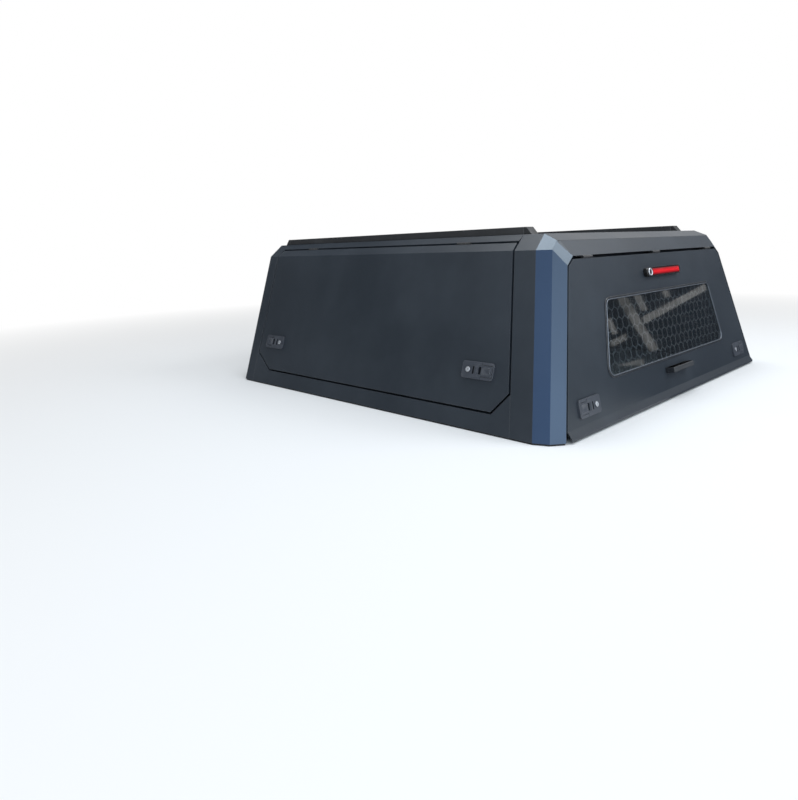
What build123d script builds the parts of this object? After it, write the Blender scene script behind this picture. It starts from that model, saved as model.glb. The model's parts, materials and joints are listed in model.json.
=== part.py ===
from build123d import *
import json
import math
import os

os.makedirs("parts", exist_ok=True)

# Driving sizes in mm: X is across, Y is forward, Z is up, and Y = 0 is the rear edge of the base

BASE_HALF = 840.0
BASE_LENGTH = 1550.0
SIDE_LEAN = 0.341
REAR_LEAN = 0.182
FRONT_LEAN = 0.042
SHEET = 2.5
SEAM = 0.6
FLANGE_WIDTH = 45.0

# Fold at the top of the side walls, and the chamfer strip up to the roof

FOLD_Z = 533.0
CHAMFER_RUN = 64.05
CHAMFER_RISE = 49.6

# Rear corner in plan: where its three upright edges stand inward from the base's side and rear

CORNER_SIDE_Y = 73.4
CORNER_MID_IN = 19.4
CORNER_MID_Y = 28.7
CORNER_REAR_IN = 56.7

# Header strips above the rear door

REAR_FOLD_DROP = 21.0
FACET_RUN = 40.12
FACET_DROP = 27.6
HEADER_RUN = 35.5
SLOPE_RUN = 51.2
SLOPE_DROP = 23.0

# Base gasket

GASKET = 5.0
GASKET_OUTER = 4.0
GASKET_INNER = 37.0

# Door openings, gaps and pans

DOOR_GAP = 7.0
HINGE_GAP = 10.0
PAN_DEPTH = 22.0
FRAME_WIDTH = 22.0
JAMB_DEPTH = 35.0
LANDING = 22.0
SEAL_INSET = 7.0
SEAL_WIDTH = 9.0
SEAL_CLEAR = 5.0
SIDE_HINGE_DROP = 22.6
SIDE_REAR_EDGE = 150.0
SIDE_FRONT_EDGE = 57.0
SIDE_SILL_Z = 52.0
REAR_CUT_LENGTH = 68.0
REAR_CUT_HEIGHT = 64.0
FRONT_CUT_LENGTH = 105.0
FRONT_CUT_HEIGHT = 66.0
POST_LAP = 4.0

# Hinges

BARREL_R = 4.3
BARREL_SIDES = 8
PIN_SIDES = 12
PIN_R = 2.4
PIN_CLEAR = 0.06
KNUCKLE = 18.0
KNUCKLE_GAP = 1.0
LEAF = 2.0
LEAF_DEPTH = 14.0
LEAF_DROP = 1.0
LEAF_STEM = 3.0
SIDE_HINGE_INSET = 220.0
REAR_HINGE_INSET = 83.0

# Rear skirt: a kick outward under the door and a short lip down

SKIRT_Z = 27.0
SKIRT_OUT = 14.0
SKIRT_LOW = 8.0
SKIRT_END = 0.5

# Windows

WINDOW_SILL = 131.0
WINDOW_HEAD = 140.0
WINDOW_SIDE_TOP = 226.4
WINDOW_SIDE_LOW = 246.6
WINDOW_R = 30.0
GLASS = 5.0
GLASS_INSET = 0.5
GLASS_CLEAR = 0.4
TRIM = 8.0
TRIM_PROUD = 3.0

# Window guard: a tray with six-sided holes

GUARD_DEPTH = 12.0
GUARD_SHEET = 1.5
GUARD_MARGIN = 34.0
CELL_PITCH = 40.0
CELL_WEB = 3.5
CELL_PAST = 4.0

# Latches, measured from the plate's middle towards the door's middle

LATCH_LENGTH = 120.0
LATCH_HEIGHT = 54.0
LATCH_T = 6.0
LATCH_R = 9.0
POCKET_START = -56.0
POCKET_END = -1.0
POCKET_HALF = 19.0
CUP_DEPTH = 16.0
CUP_WALL = 1.5
CUP_CLEAR = 0.3
PADDLE_START = -54.5
PADDLE_END = -13.0
PADDLE_HALF = 17.5
PADDLE_T = 4.5
PADDLE_EDGE = 1.4
PADDLE_PIN_X = -51.0
PADDLE_PIN_R = 1.6
PADDLE_PIN_IN = 2.5
LOCK_X = 36.0
LOCK_R = 10.0
LOCK_PROUD = 2.5
LOCK_SIDES = 18
KEYWAY_LENGTH = 7.0
KEYWAY_WIDTH = 2.0
KEYWAY_DEPTH = 1.2
SIDE_LATCH_REAR = 119.0
SIDE_LATCH_FRONT = 115.0
SIDE_LATCH_Z = 170.0
REAR_LATCH_IN = 123.0
REAR_LATCH_Z = 74.0

# Brake lamp and the round eye at its left end

LAMP_DROP = 75.0
LAMP_SHIFT = 12.0
LAMP_HALF = 141.0
LAMP_H = 32.0
LAMP_R = 15.5
LAMP_PROUD = 15.0
LENS_POCKET = 8.0
LENS_END = 11.0
LENS_H = 24.0
LENS_PROUD = 2.0
LENS_EDGE = 1.5
EYE_IN = 24.0
EYE_TO_LENS = 18.5
EYE_R = 14.0
EYE_RING = 4.0
EYE_PROUD = 3.0
EYE_SIDES = 24

# Pull handle

HANDLE_Z = 92.0
HANDLE_HALF = 87.0
HANDLE_H = 19.0
HANDLE_PROUD = 31.0
HANDLE_WALL = 3.0
HANDLE_EDGE = 2.0

# Roof rails

RAIL_IN = 28.2
RAIL_REAR_IN = 51.0
RAIL_FRONT_IN = 26.5
RAIL_W = 40.0
RAIL_H = 24.0
RAIL_WALL = 3.0
RAIL_SIDE = 6.0
RAIL_FLOOR = 8.0
RAIL_MOUTH = 12.0
CAP_LENGTH = 30.0
CAP_FLAT = 10.0

# Derived folds and corners

ROOF_Z = FOLD_Z + CHAMFER_RISE
FOLD_HALF = BASE_HALF - SIDE_LEAN * FOLD_Z
ROOF_HALF = FOLD_HALF - CHAMFER_RUN
CHAMFER_SLOPE = CHAMFER_RISE / CHAMFER_RUN
REAR_BASE_HALF = BASE_HALF - CORNER_REAR_IN
REAR_FOLD_Z = FOLD_Z - REAR_FOLD_DROP
REAR_FOLD_Y = REAR_LEAN * REAR_FOLD_Z
FACET_TOP_Z = REAR_FOLD_Z - FACET_DROP
FACET_TOP_HALF = REAR_BASE_HALF - SIDE_LEAN * FACET_TOP_Z
REAR_FOLD_HALF = FACET_TOP_HALF - FACET_RUN
SLOPE_REAR_Y = REAR_FOLD_Y + HEADER_RUN
SLOPE_REAR_Z = ROOF_Z - SLOPE_DROP
ROOF_REAR_Y = SLOPE_REAR_Y + SLOPE_RUN
SIDE_HINGE_Z = ROOF_Z - SIDE_HINGE_DROP
SIDE_HINGE_X = ROOF_HALF + SIDE_HINGE_DROP / CHAMFER_SLOPE
REAR_HINGE_Z = REAR_FOLD_Z - HINGE_GAP / 2
REAR_HINGE_Y = REAR_LEAN * REAR_HINGE_Z
HALF_LENGTH = BASE_LENGTH / 2
HALF_GAP = HINGE_GAP / 2

# Lengths that reach past the whole part, for cutting blocks

FAR_X = 2 * BASE_HALF
FAR_Y = 2 * BASE_LENGTH
FAR_Z = 2 * ROOF_Z
PAST = 60.0


def plane_of(a, b, c, inside):
    # A point and the outward normal of the plane through three points
    a = Vector(*a)
    b = Vector(*b)
    c = Vector(*c)
    normal = (b - a).cross(c - a).normalized()
    if normal.dot(Vector(*inside) - a) > 0:
        normal = normal * -1
    return a, normal


def meet_x(face, y, z):
    # X where a plane meets the line through (y, z) across the body
    point, normal = face
    return point.X - (normal.Y * (y - point.Y) + normal.Z * (z - point.Z)) / normal.X


def shifted(point, direction, amount=100.0):
    return tuple(point[i] + direction[i] * amount for i in range(3))


# Left side's corner points: base, side fold, roof and rear fold

ACROSS = (1, 0, 0)
ALONG = (0, 1, 0)
EDGE = (SIDE_LEAN, REAR_LEAN, 1.0)
INSIDE = (0, HALF_LENGTH, FOLD_Z / 2)
BASE_SIDE = (-BASE_HALF, CORNER_SIDE_Y, 0.0)
BASE_MID = (CORNER_MID_IN - BASE_HALF, CORNER_MID_Y, 0.0)
BASE_REAR = (-REAR_BASE_HALF, 0.0, 0.0)
FOLD_SIDE = shifted(BASE_SIDE, EDGE, FOLD_Z)
FACET_TOP = shifted(BASE_REAR, EDGE, FACET_TOP_Z)
REAR_FOLD = (-REAR_FOLD_HALF, REAR_FOLD_Y, REAR_FOLD_Z)
ROOF_CORNER = (-ROOF_HALF, ROOF_REAR_Y, ROOF_Z)


def top_facets(mid_z):
    # The two facets over the corner share the top of the middle upright edge
    mid = shifted(BASE_MID, EDGE, mid_z)
    upper = plane_of(FOLD_SIDE, ROOF_CORNER, mid, INSIDE)
    lower = plane_of(mid, FACET_TOP, REAR_FOLD, INSIDE)
    return upper, lower


def mismatch(mid_z):
    # How far apart the two facets reach the line between the header strips
    upper, lower = top_facets(mid_z)
    return meet_x(upper, SLOPE_REAR_Y, SLOPE_REAR_Z) - meet_x(lower, SLOPE_REAR_Y, SLOPE_REAR_Z)


def solved_height(low, high):
    # The height at which both facets share one vertex with the header, found by halving
    for _ in range(50):
        middle = (low + high) / 2
        if mismatch(low) * mismatch(middle) <= 0:
            high = middle
        else:
            low = middle
    return (low + high) / 2


UPPER_FACET, LOWER_FACET = top_facets(solved_height(FACET_TOP_Z, FOLD_Z))
HEADER_END = (meet_x(UPPER_FACET, SLOPE_REAR_Y, SLOPE_REAR_Z), SLOPE_REAR_Y, SLOPE_REAR_Z)

# Outer planes of the body

SIDE_FACE = plane_of(BASE_SIDE, FOLD_SIDE, shifted(BASE_SIDE, ALONG), INSIDE)
SIDE_FACET = plane_of(BASE_SIDE, BASE_MID, FOLD_SIDE, INSIDE)
REAR_FACET = plane_of(BASE_MID, BASE_REAR, shifted(BASE_MID, EDGE), INSIDE)
CHAMFER_FACE = plane_of(FOLD_SIDE, ROOF_CORNER, shifted(FOLD_SIDE, ALONG), INSIDE)
REAR_FACE = plane_of(BASE_REAR, shifted(BASE_REAR, ACROSS), REAR_FOLD, INSIDE)
ROOF_FACE = plane_of(ROOF_CORNER, shifted(ROOF_CORNER, ACROSS), shifted(ROOF_CORNER, ALONG), INSIDE)
SLOPE_FACE = plane_of(ROOF_CORNER, shifted(ROOF_CORNER, ACROSS), HEADER_END, INSIDE)
HEADER_FACE = plane_of(REAR_FOLD, shifted(REAR_FOLD, ACROSS), HEADER_END, INSIDE)
FRONT_BASE = (0, BASE_LENGTH, 0)
FRONT_FACE = plane_of(
    FRONT_BASE, shifted(FRONT_BASE, ACROSS), shifted(FRONT_BASE, (0, FRONT_LEAN, 1)), INSIDE)


def mirrored(face):
    point, normal = face
    return Vector(-point.X, point.Y, point.Z), Vector(-normal.X, normal.Y, normal.Z)


LEFT_FACES = [SIDE_FACE, SIDE_FACET, REAR_FACET, CHAMFER_FACE, UPPER_FACET, LOWER_FACET]
RIGHT_FACES = [mirrored(face) for face in LEFT_FACES]
SHARED_FACES = [REAR_FACE, ROOF_FACE, SLOPE_FACE, HEADER_FACE, FRONT_FACE]


def keep_below(shape, point, normal):
    # What lies on the inner side of a plane
    return split(shape, bisect_by=Plane(origin=point, z_dir=normal), keep=Keep.BOTTOM)


def keep_above(shape, point, normal):
    return split(shape, bisect_by=Plane(origin=point, z_dir=normal), keep=Keep.TOP)


def between_depths(shape, face, near, far):
    # The part of a shape that lies between two depths behind a face
    point, normal = face
    shape = keep_below(shape, point - normal * near, normal)
    return keep_above(shape, point - normal * far, normal)


def block(x0, x1, y0, y1, z0, z1):
    return Pos((x0 + x1) / 2, (y0 + y1) / 2, (z0 + z1) / 2) * Box(x1 - x0, y1 - y0, z1 - z0)


def hull(depth, floor_z=0.0):
    # The closed body with every outer plane moved in by depth, on a floor at floor_z
    body = block(-FAR_X, FAR_X, -FAR_Y, FAR_Y, floor_z, FAR_Z)
    for point, normal in LEFT_FACES + RIGHT_FACES + SHARED_FACES:
        body = keep_below(body, point - normal * depth, normal)
    return body


def layer(outer, inner, floor_z=0.0):
    # Walls between two depths, open at the floor
    return hull(outer, floor_z) - hull(inner, floor_z - PAST)


def prism_x(points, x0, x1):
    # Outline given in (y, z), from x0 to x1
    face = make_face(Polyline(*[(x0, y, z) for y, z in points], close=True))
    return extrude(face, amount=x1 - x0, dir=(1, 0, 0))


def prism_y(points, y0, y1):
    # Outline given in (x, z), from y0 to y1
    face = make_face(Polyline(*[(x, y0, z) for x, z in points], close=True))
    return extrude(face, amount=y1 - y0, dir=(0, 1, 0))


def prism_z(points):
    # Outline given in (x, y), past the part's whole height
    face = make_face(Polyline(*[(x, y, -PAST) for x, y in points], close=True))
    return extrude(face, amount=FAR_Z, dir=(0, 0, 1))


def side_lines(points, amount):
    # Each side of a counter-clockwise outline, moved inward, as its normal and offset
    lines = []
    for (x0, y0), (x1, y1) in zip(points, points[1:] + points[:1]):
        length = math.hypot(x1 - x0, y1 - y0)
        nx = (y0 - y1) / length
        ny = (x1 - x0) / length
        lines.append((nx, ny, nx * x0 + ny * y0 + amount))
    return lines


def inset(points, amount):
    # Moves each side of a counter-clockwise convex outline inward
    lines = side_lines(points, amount)
    corners = []
    for a, b in zip(lines[-1:] + lines[:-1], lines):
        det = a[0] * b[1] - a[1] * b[0]
        corners.append(((a[2] * b[1] - a[1] * b[2]) / det, (a[0] * b[2] - a[2] * b[0]) / det))
    return corners


def rod(radius, y0, y1, sides, bore=False):
    # A many-sided rod along Y: a pin's corners lie on the radius, a bore's flats do
    disc = extrude(RegularPolygon(radius, sides, major_radius=not bore), y1 - y0)
    return Pos(0, y1, 0) * Rot(90, 0, 0) * disc


def right(shape):
    return mirror(shape, about=Plane.YZ)


def largest(shape):
    return max(shape.solids(), key=lambda solid: solid.volume)


# Side door opening in (y, z), counter-clockwise; its top is cut square to the chamfer


def rear_edge_y(z):
    return SIDE_REAR_EDGE + REAR_LEAN * z


def front_edge_y(z):
    return BASE_LENGTH - SIDE_FRONT_EDGE + FRONT_LEAN * z


def rear_edge_x(z):
    return REAR_BASE_HALF - SIDE_LEAN * z


REAR_CUT_Z = SIDE_SILL_Z + REAR_CUT_HEIGHT
FRONT_CUT_Z = SIDE_SILL_Z + FRONT_CUT_HEIGHT
SIDE_OPENING = [
    (rear_edge_y(SIDE_SILL_Z) + REAR_CUT_LENGTH, SIDE_SILL_Z),
    (front_edge_y(SIDE_SILL_Z) - FRONT_CUT_LENGTH, SIDE_SILL_Z),
    (front_edge_y(FRONT_CUT_Z), FRONT_CUT_Z),
    (front_edge_y(ROOF_Z + PAST), ROOF_Z + PAST),
    (rear_edge_y(ROOF_Z + PAST), ROOF_Z + PAST),
    (rear_edge_y(REAR_CUT_Z), REAR_CUT_Z),
]
SIDE_AXIS = Vector(-SIDE_HINGE_X, 0, SIDE_HINGE_Z)
SIDE_DOWN = Vector(-1, 0, -CHAMFER_SLOPE).normalized()
REAR_AXIS = Vector(0, REAR_HINGE_Y, REAR_HINGE_Z)
REAR_DOWN = Vector(0, -REAR_LEAN, -1).normalized()


def side_region(shrink, hinge_shift):
    # The side opening's space, with each edge moved in by shrink
    space = prism_x(inset(SIDE_OPENING, shrink), -FAR_X, 0)
    return keep_above(space, SIDE_AXIS + SIDE_DOWN * hinge_shift, SIDE_DOWN)


def beyond(a, b, extra):
    # The point that lies a little past b on the line from a
    length = math.hypot(b[0] - a[0], b[1] - a[1])
    return b[0] + (b[0] - a[0]) * extra / length, b[1] + (b[1] - a[1]) * extra / length


TOP_RIGHT = beyond((FACET_TOP_HALF, FACET_TOP_Z), (REAR_FOLD_HALF, REAR_FOLD_Z), SEAM)
REAR_OPENING = [
    (-rear_edge_x(-PAST), -PAST),
    (rear_edge_x(-PAST), -PAST),
    (FACET_TOP_HALF, FACET_TOP_Z),
    TOP_RIGHT,
    (-TOP_RIGHT[0], TOP_RIGHT[1]),
    (-FACET_TOP_HALF, FACET_TOP_Z),
]


def rear_region(shrink, hinge_shift, bottom):
    # The rear opening's space, cut off at a bottom height of its own
    points = inset(REAR_OPENING, shrink)
    low_x = points[1][0] + SIDE_LEAN * (points[1][1] - bottom)
    points[:2] = [(-low_x, bottom), (low_x, bottom)]
    space = prism_y(points, -PAST, HALF_LENGTH)
    return keep_above(space, REAR_AXIS + REAR_DOWN * hinge_shift, REAR_DOWN)


def side_opening(shrink=0.0):
    return side_region(shrink, shrink - HALF_GAP)


def side_door_space(shrink=0.0):
    return side_region(DOOR_GAP + shrink, shrink + HALF_GAP)


def rear_opening(shrink=0.0):
    return rear_region(shrink, shrink - HALF_GAP, -PAST)


def rear_door_space(shrink=0.0):
    return rear_region(DOOR_GAP + shrink, shrink + HALF_GAP, SKIRT_Z + shrink)


# Shell: skin with openings, jambs, landing flanges and the base flange

left_open = side_opening()
rear_open = rear_opening()
jamb_space = layer(SHEET, JAMB_DEPTH)
landing_space = layer(JAMB_DEPTH - SHEET, JAMB_DEPTH)
side_ring = (jamb_space & side_opening(-SHEET)) - left_open
side_ring = side_ring + ((landing_space & left_open) - side_opening(LANDING))
rear_ring = (jamb_space & rear_opening(-SHEET)) - rear_open
rear_ring = rear_ring + ((landing_space & rear_open) - rear_opening(LANDING))
floor_slab = block(-FAR_X, FAR_X, -FAR_Y, FAR_Y, 0, SHEET)
flange = (layer(0, FLANGE_WIDTH) & floor_slab) - rear_open
shell = layer(0, SHEET) - left_open - right(left_open) - rear_open
left_half = block(-FAR_X, 0, -FAR_Y, FAR_Y, -PAST, FAR_Z)
rear_half = block(-FAR_X, FAR_X, -FAR_Y, HALF_LENGTH, -PAST, FAR_Z)
front_half = block(-FAR_X, FAR_X, HALF_LENGTH, FAR_Y, -PAST, FAR_Z)

# Seam planes between the shell's panels

REAR_EDGE_N = Vector(0, 1, -REAR_LEAN).normalized()
REAR_EDGE_AT = Vector(0, SIDE_REAR_EDGE, 0)
FRONT_EDGE_N = Vector(0, 1, -FRONT_LEAN).normalized()
FRONT_EDGE_AT = Vector(0, BASE_LENGTH - SIDE_FRONT_EDGE, 0)
HINGE_LINE = SIDE_AXIS - SIDE_DOWN * HALF_GAP
FRONT_IN = FRONT_FACE[0] - FRONT_FACE[1] * (SHEET + SEAM)

# The side opening's ring of jamb and landing, cut into four bars

ring_top_at = HINGE_LINE + SIDE_DOWN * LANDING
ring_top = keep_below(side_ring, ring_top_at, SIDE_DOWN)
ring_rest = keep_above(side_ring, ring_top_at + SIDE_DOWN * SEAM, SIDE_DOWN)
ring_low = ring_rest & rear_half & block(-FAR_X, 0, -FAR_Y, FAR_Y, 0, REAR_CUT_Z)
ring_low = ring_low + (ring_rest & front_half & block(-FAR_X, 0, -FAR_Y, FAR_Y, 0, FRONT_CUT_Z))
ring_rear = ring_rest & rear_half & block(-FAR_X, 0, -FAR_Y, FAR_Y, REAR_CUT_Z + SEAM, FAR_Z)
ring_front = ring_rest & front_half & block(-FAR_X, 0, -FAR_Y, FAR_Y, FRONT_CUT_Z + SEAM, FAR_Z)

# The rear opening's ring: two posts and a top bar

rear_top_at = REAR_AXIS + REAR_DOWN * (LANDING - HALF_GAP)
rear_ring_top = keep_below(rear_ring, rear_top_at, REAR_DOWN)
rear_post = keep_above(rear_ring, rear_top_at + REAR_DOWN * SEAM, REAR_DOWN) & left_half
rear_post = rear_post & block(-FAR_X, 0, -FAR_Y, FAR_Y, 0, FAR_Z) - flange

# Left panels, cut from the skin along the corner's plan and the opening's edges

CORNER_PLAN = [
    (-FAR_X, -PAST),
    (REAR_FOLD[0], -PAST),
    (REAR_FOLD[0], REAR_FOLD[1]),
    (HEADER_END[0], HEADER_END[1]),
    (ROOF_CORNER[0], ROOF_CORNER[1]),
    (ROOF_CORNER[0], HALF_LENGTH),
    (-FAR_X, HALF_LENGTH),
]
side_flange = flange & block(-FAR_X, FLANGE_WIDTH - BASE_HALF, 0, BASE_LENGTH, 0, SHEET)
corner_flange = flange & block(-FAR_X, POST_LAP - REAR_BASE_HALF, 0, SIDE_REAR_EDGE, 0, SHEET)
left_skin = (shell & left_half) + side_flange + corner_flange
corner_skin = left_skin & prism_z(CORNER_PLAN)
rear_corner = keep_below(corner_skin, REAR_EDGE_AT - REAR_EDGE_N * SEAM, REAR_EDGE_N)
rear_corner = rear_corner + ring_rear + rear_post
side_skin = keep_above(left_skin, HINGE_LINE, SIDE_DOWN)
side_skin = keep_below(side_skin, FRONT_IN, FRONT_FACE[1])
front_corner = keep_above(side_skin, FRONT_EDGE_AT + FRONT_EDGE_N * SEAM, FRONT_EDGE_N) + ring_front
sill = keep_below(side_skin, FRONT_EDGE_AT, FRONT_EDGE_N)
sill = keep_above(sill, REAR_EDGE_AT, REAR_EDGE_N) + ring_low

# Each node's solids are collected here and written at the end

exports = {}


def add(name, *shapes):
    exports[name] = [solid for shape in shapes for solid in shape.solids()]


def add_pair(name, *shapes):
    # The left pieces and their mirror images in one node
    add(name, *shapes, *[right(shape) for shape in shapes])


add_pair("rear_corners", rear_corner)
add_pair("side_sills", sill)
add_pair("front_corners", front_corner)

# Roof panel with the two chamfer strips and the top bars of the side openings

header_cut_n = Vector(*ROOF_FACE[1]) + HEADER_FACE[1] * -1
header_cut_at = Vector(*HEADER_END)
header_cut_n = Vector(0, header_cut_n.Y, header_cut_n.Z).normalized()
seam_y = rear_edge_y(ROOF_Z)
roof_half_plan = [
    (ROOF_CORNER[0] + SEAM, seam_y),
    (ROOF_CORNER[0] + SEAM, ROOF_CORNER[1]),
    (HEADER_END[0] + SEAM, HEADER_END[1]),
    (HEADER_END[0] + SEAM, REAR_FOLD_Y),
]
roof_plan = [(-FAR_X, FAR_Y), (-FAR_X, seam_y)] + roof_half_plan
roof_plan = roof_plan + [(-x, y) for x, y in reversed(roof_plan)]
roof = keep_below(shell, HINGE_LINE, SIDE_DOWN)
roof = keep_below(roof, *mirrored((HINGE_LINE, SIDE_DOWN)))
roof = keep_below(roof, FRONT_IN, FRONT_FACE[1])
roof = keep_above(roof & prism_z(roof_plan), header_cut_at + header_cut_n * SEAM, header_cut_n)
add("roof_panel", roof + ring_top + right(ring_top))

# Header: the lower strip above the rear door, with the top bar of the rear opening

header_half_plan = [
    (REAR_FOLD[0] + SEAM, 0),
    (REAR_FOLD[0] + SEAM, REAR_FOLD[1]),
    (HEADER_END[0] + SEAM, HEADER_END[1]),
    (HEADER_END[0] + SEAM, ROOF_REAR_Y),
]
header_plan = header_half_plan + [(-x, y) for x, y in reversed(header_half_plan)]
header = shell & prism_z(header_plan)
header = keep_below(header, header_cut_at - header_cut_n * SEAM, header_cut_n)
add("rear_header", header + rear_ring_top)

# Windows: one outline in (x, z) serves the rear door and the front wall

WINDOW_TOP_Z = REAR_FOLD_Z - WINDOW_HEAD
WINDOW_TOP_HALF = rear_edge_x(WINDOW_TOP_Z) - WINDOW_SIDE_TOP
WINDOW_LOW_HALF = rear_edge_x(WINDOW_SILL) - WINDOW_SIDE_LOW
WINDOW_OUTLINE = [
    (-WINDOW_LOW_HALF, WINDOW_SILL),
    (WINDOW_LOW_HALF, WINDOW_SILL),
    (WINDOW_TOP_HALF, WINDOW_TOP_Z),
    (-WINDOW_TOP_HALF, WINDOW_TOP_Z),
]


def window_prism(grow, y0, y1):
    body = prism_y(inset(WINDOW_OUTLINE, -grow), y0, y1)
    edges = [edge for edge in body.edges() if abs(edge.tangent_at(0.5).Y) > 0.99]
    return fillet(edges, WINDOW_R + grow)


def window_glass(face, y0, y1):
    pane = window_prism(-GLASS_CLEAR, y0, y1)
    return between_depths(pane, face, GLASS_INSET, GLASS_INSET + GLASS)


def window_trim(face, y0, y1):
    rim = window_prism(TRIM / 2, y0, y1) - window_prism(-TRIM / 2, y0, y1)
    return between_depths(rim, face, -TRIM_PROUD, 0)


# Front wall with its window

FRONT_SPAN = (HALF_LENGTH, BASE_LENGTH + PAST)
flange_half = BASE_HALF - FLANGE_WIDTH - SEAM
front_flange = flange & block(-flange_half, flange_half, BASE_LENGTH - FLANGE_WIDTH, FAR_Y, 0, SHEET)
front_wall = between_depths(hull(0), FRONT_FACE, 0, SHEET) + front_flange
add("front_wall", front_wall - window_prism(0, *FRONT_SPAN))
add("front_window_glass", window_glass(FRONT_FACE, *FRONT_SPAN))
add("front_window_trim", window_trim(FRONT_FACE, *FRONT_SPAN))

# Base gasket under the flange: a strip on each side and one at the front, open at the rear

gasket_ring = layer(GASKET_OUTER, GASKET_INNER, -GASKET)
gasket_ring = gasket_ring & block(-FAR_X, FAR_X, -FAR_Y, FAR_Y, -GASKET, 0)
side_strip = gasket_ring & block(-FAR_X, -REAR_BASE_HALF, -FAR_Y, FAR_Y, -GASKET, 0)
front_reach = REAR_BASE_HALF - SEAM
front_strip = gasket_ring & block(-front_reach, front_reach, HALF_LENGTH, FAR_Y, -GASKET, 0)
add("base_gasket", side_strip, right(side_strip), front_strip)

# Door seals on the landing flanges

seal_space = layer(PAN_DEPTH + SEAL_CLEAR, JAMB_DEPTH - SHEET)


def seal_on(opening):
    return (seal_space & opening(SEAL_INSET)) - opening(SEAL_INSET + SEAL_WIDTH)


side_seal = seal_on(side_opening)
rear_seal = seal_on(rear_opening) & block(-FAR_X, FAR_X, -FAR_Y, FAR_Y, 0, FAR_Z)
add("door_seals", side_seal, right(side_seal), rear_seal)

# Door pans: a skin with returns, and a tube frame inside


def door_pan(space):
    returns = (layer(0, PAN_DEPTH) & space(0)) - space(SHEET)
    return (layer(0, SHEET) & space(0)) + returns


def door_frame(space):
    ring = (layer(SHEET, PAN_DEPTH) & space(SHEET)) - space(FRAME_WIDTH)
    core = layer(2 * SHEET, PAN_DEPTH - SHEET) & space(2 * SHEET)
    return ring - (core - space(FRAME_WIDTH - SHEET))


# Latches, drawn flat: X towards the door's middle, Z out of the door

POCKET_MID = (POCKET_START + POCKET_END) / 2
POCKET_WIDTH = POCKET_END - POCKET_START
PIN_Z = LATCH_T - PADDLE_T / 2


PIN_PLACE = Pos(PADDLE_PIN_X, 0, PIN_Z)


def latch_plate():
    # A rounded plate with a cup behind it, and a bore on each side for the paddle's pin
    plate = extrude(RectangleRounded(LATCH_LENGTH, LATCH_HEIGHT, LATCH_R), LATCH_T)
    cup_half = POCKET_HALF + CUP_WALL
    cup_x = (POCKET_START - CUP_WALL, POCKET_END + CUP_WALL)
    cup = block(*cup_x, -cup_half, cup_half, -CUP_DEPTH, 0)
    hollow = block(
        POCKET_START, POCKET_END, -POCKET_HALF, POCKET_HALF,
        CUP_WALL - CUP_DEPTH, 2 * LATCH_T)
    reach = POCKET_HALF + 2 * CUP_WALL
    bore = PIN_PLACE * rod(PADDLE_PIN_R + PIN_CLEAR, -reach, reach, PIN_SIDES, bore=True)
    return plate + cup - hollow - bore


def latch_paddle():
    leaf = block(PADDLE_START, PADDLE_END, -PADDLE_HALF, PADDLE_HALF, LATCH_T - PADDLE_T, LATCH_T)
    leaf = chamfer(leaf.edges().filter_by(Axis.Y).group_by(Axis.Z)[0], PADDLE_EDGE)
    reach = POCKET_HALF + PADDLE_PIN_IN
    return leaf + PIN_PLACE * rod(PADDLE_PIN_R, -reach, reach, PIN_SIDES)


def lock_plug():
    top = LATCH_T + LOCK_PROUD
    plug = Pos(LOCK_X, 0, LATCH_T) * extrude(RegularPolygon(LOCK_R, LOCK_SIDES), LOCK_PROUD)
    return plug - Pos(LOCK_X, 0, top) * Box(KEYWAY_LENGTH, KEYWAY_WIDTH, 2 * KEYWAY_DEPTH)


def latch_hole():
    width = POCKET_WIDTH + 2 * (CUP_WALL + CUP_CLEAR)
    height = 2 * (POCKET_HALF + CUP_WALL + CUP_CLEAR)
    return Pos(POCKET_MID, 0, 0) * Box(width, height, 2 * CUP_DEPTH)


def side_seat(y, x_dir):
    # A place on the left side wall at the latches' height
    x = SIDE_LEAN * SIDE_LATCH_Z - BASE_HALF
    return Plane(origin=(x, y, SIDE_LATCH_Z), x_dir=x_dir, z_dir=SIDE_FACE[1]).location


def rear_seat(x, z, x_dir=ACROSS):
    # A place on the rear door's face
    return Plane(origin=(x, REAR_LEAN * z, z), x_dir=x_dir, z_dir=REAR_FACE[1]).location


REAR_LATCH_X = rear_edge_x(REAR_LATCH_Z) - REAR_LATCH_IN
side_seats = {
    "rear": side_seat(rear_edge_y(SIDE_LATCH_Z) + SIDE_LATCH_REAR, (0, 1, 0)),
    "front": side_seat(front_edge_y(SIDE_LATCH_Z) - SIDE_LATCH_FRONT, (0, -1, 0)),
}
rear_seats = {
    "left": rear_seat(-REAR_LATCH_X, REAR_LATCH_Z, (1, 0, 0)),
    "right": rear_seat(REAR_LATCH_X, REAR_LATCH_Z, (-1, 0, 0)),
}

# Side doors

side_holes = [where * latch_hole() for where in side_seats.values()]
side_pan = largest(door_pan(side_door_space) - side_holes)
side_tube = largest(door_frame(side_door_space))
side_plates = [where * latch_plate() for where in side_seats.values()]
side_locks = [where * lock_plug() for where in side_seats.values()]
side_paddles = {key: where * latch_paddle() for key, where in side_seats.items()}
for side, placed_on in (("left", lambda shape: shape), ("right", right)):
    add(side + "_door_skin", placed_on(side_pan))
    add(side + "_door_frame", placed_on(side_tube))
    add(side + "_door_latch_plates", *[placed_on(plate) for plate in side_plates])
    add(side + "_door_locks", *[placed_on(lock) for lock in side_locks])
    for key, paddle in side_paddles.items():
        add(side + "_" + key + "_paddle", placed_on(paddle))

# Rear door with its skirt


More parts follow.
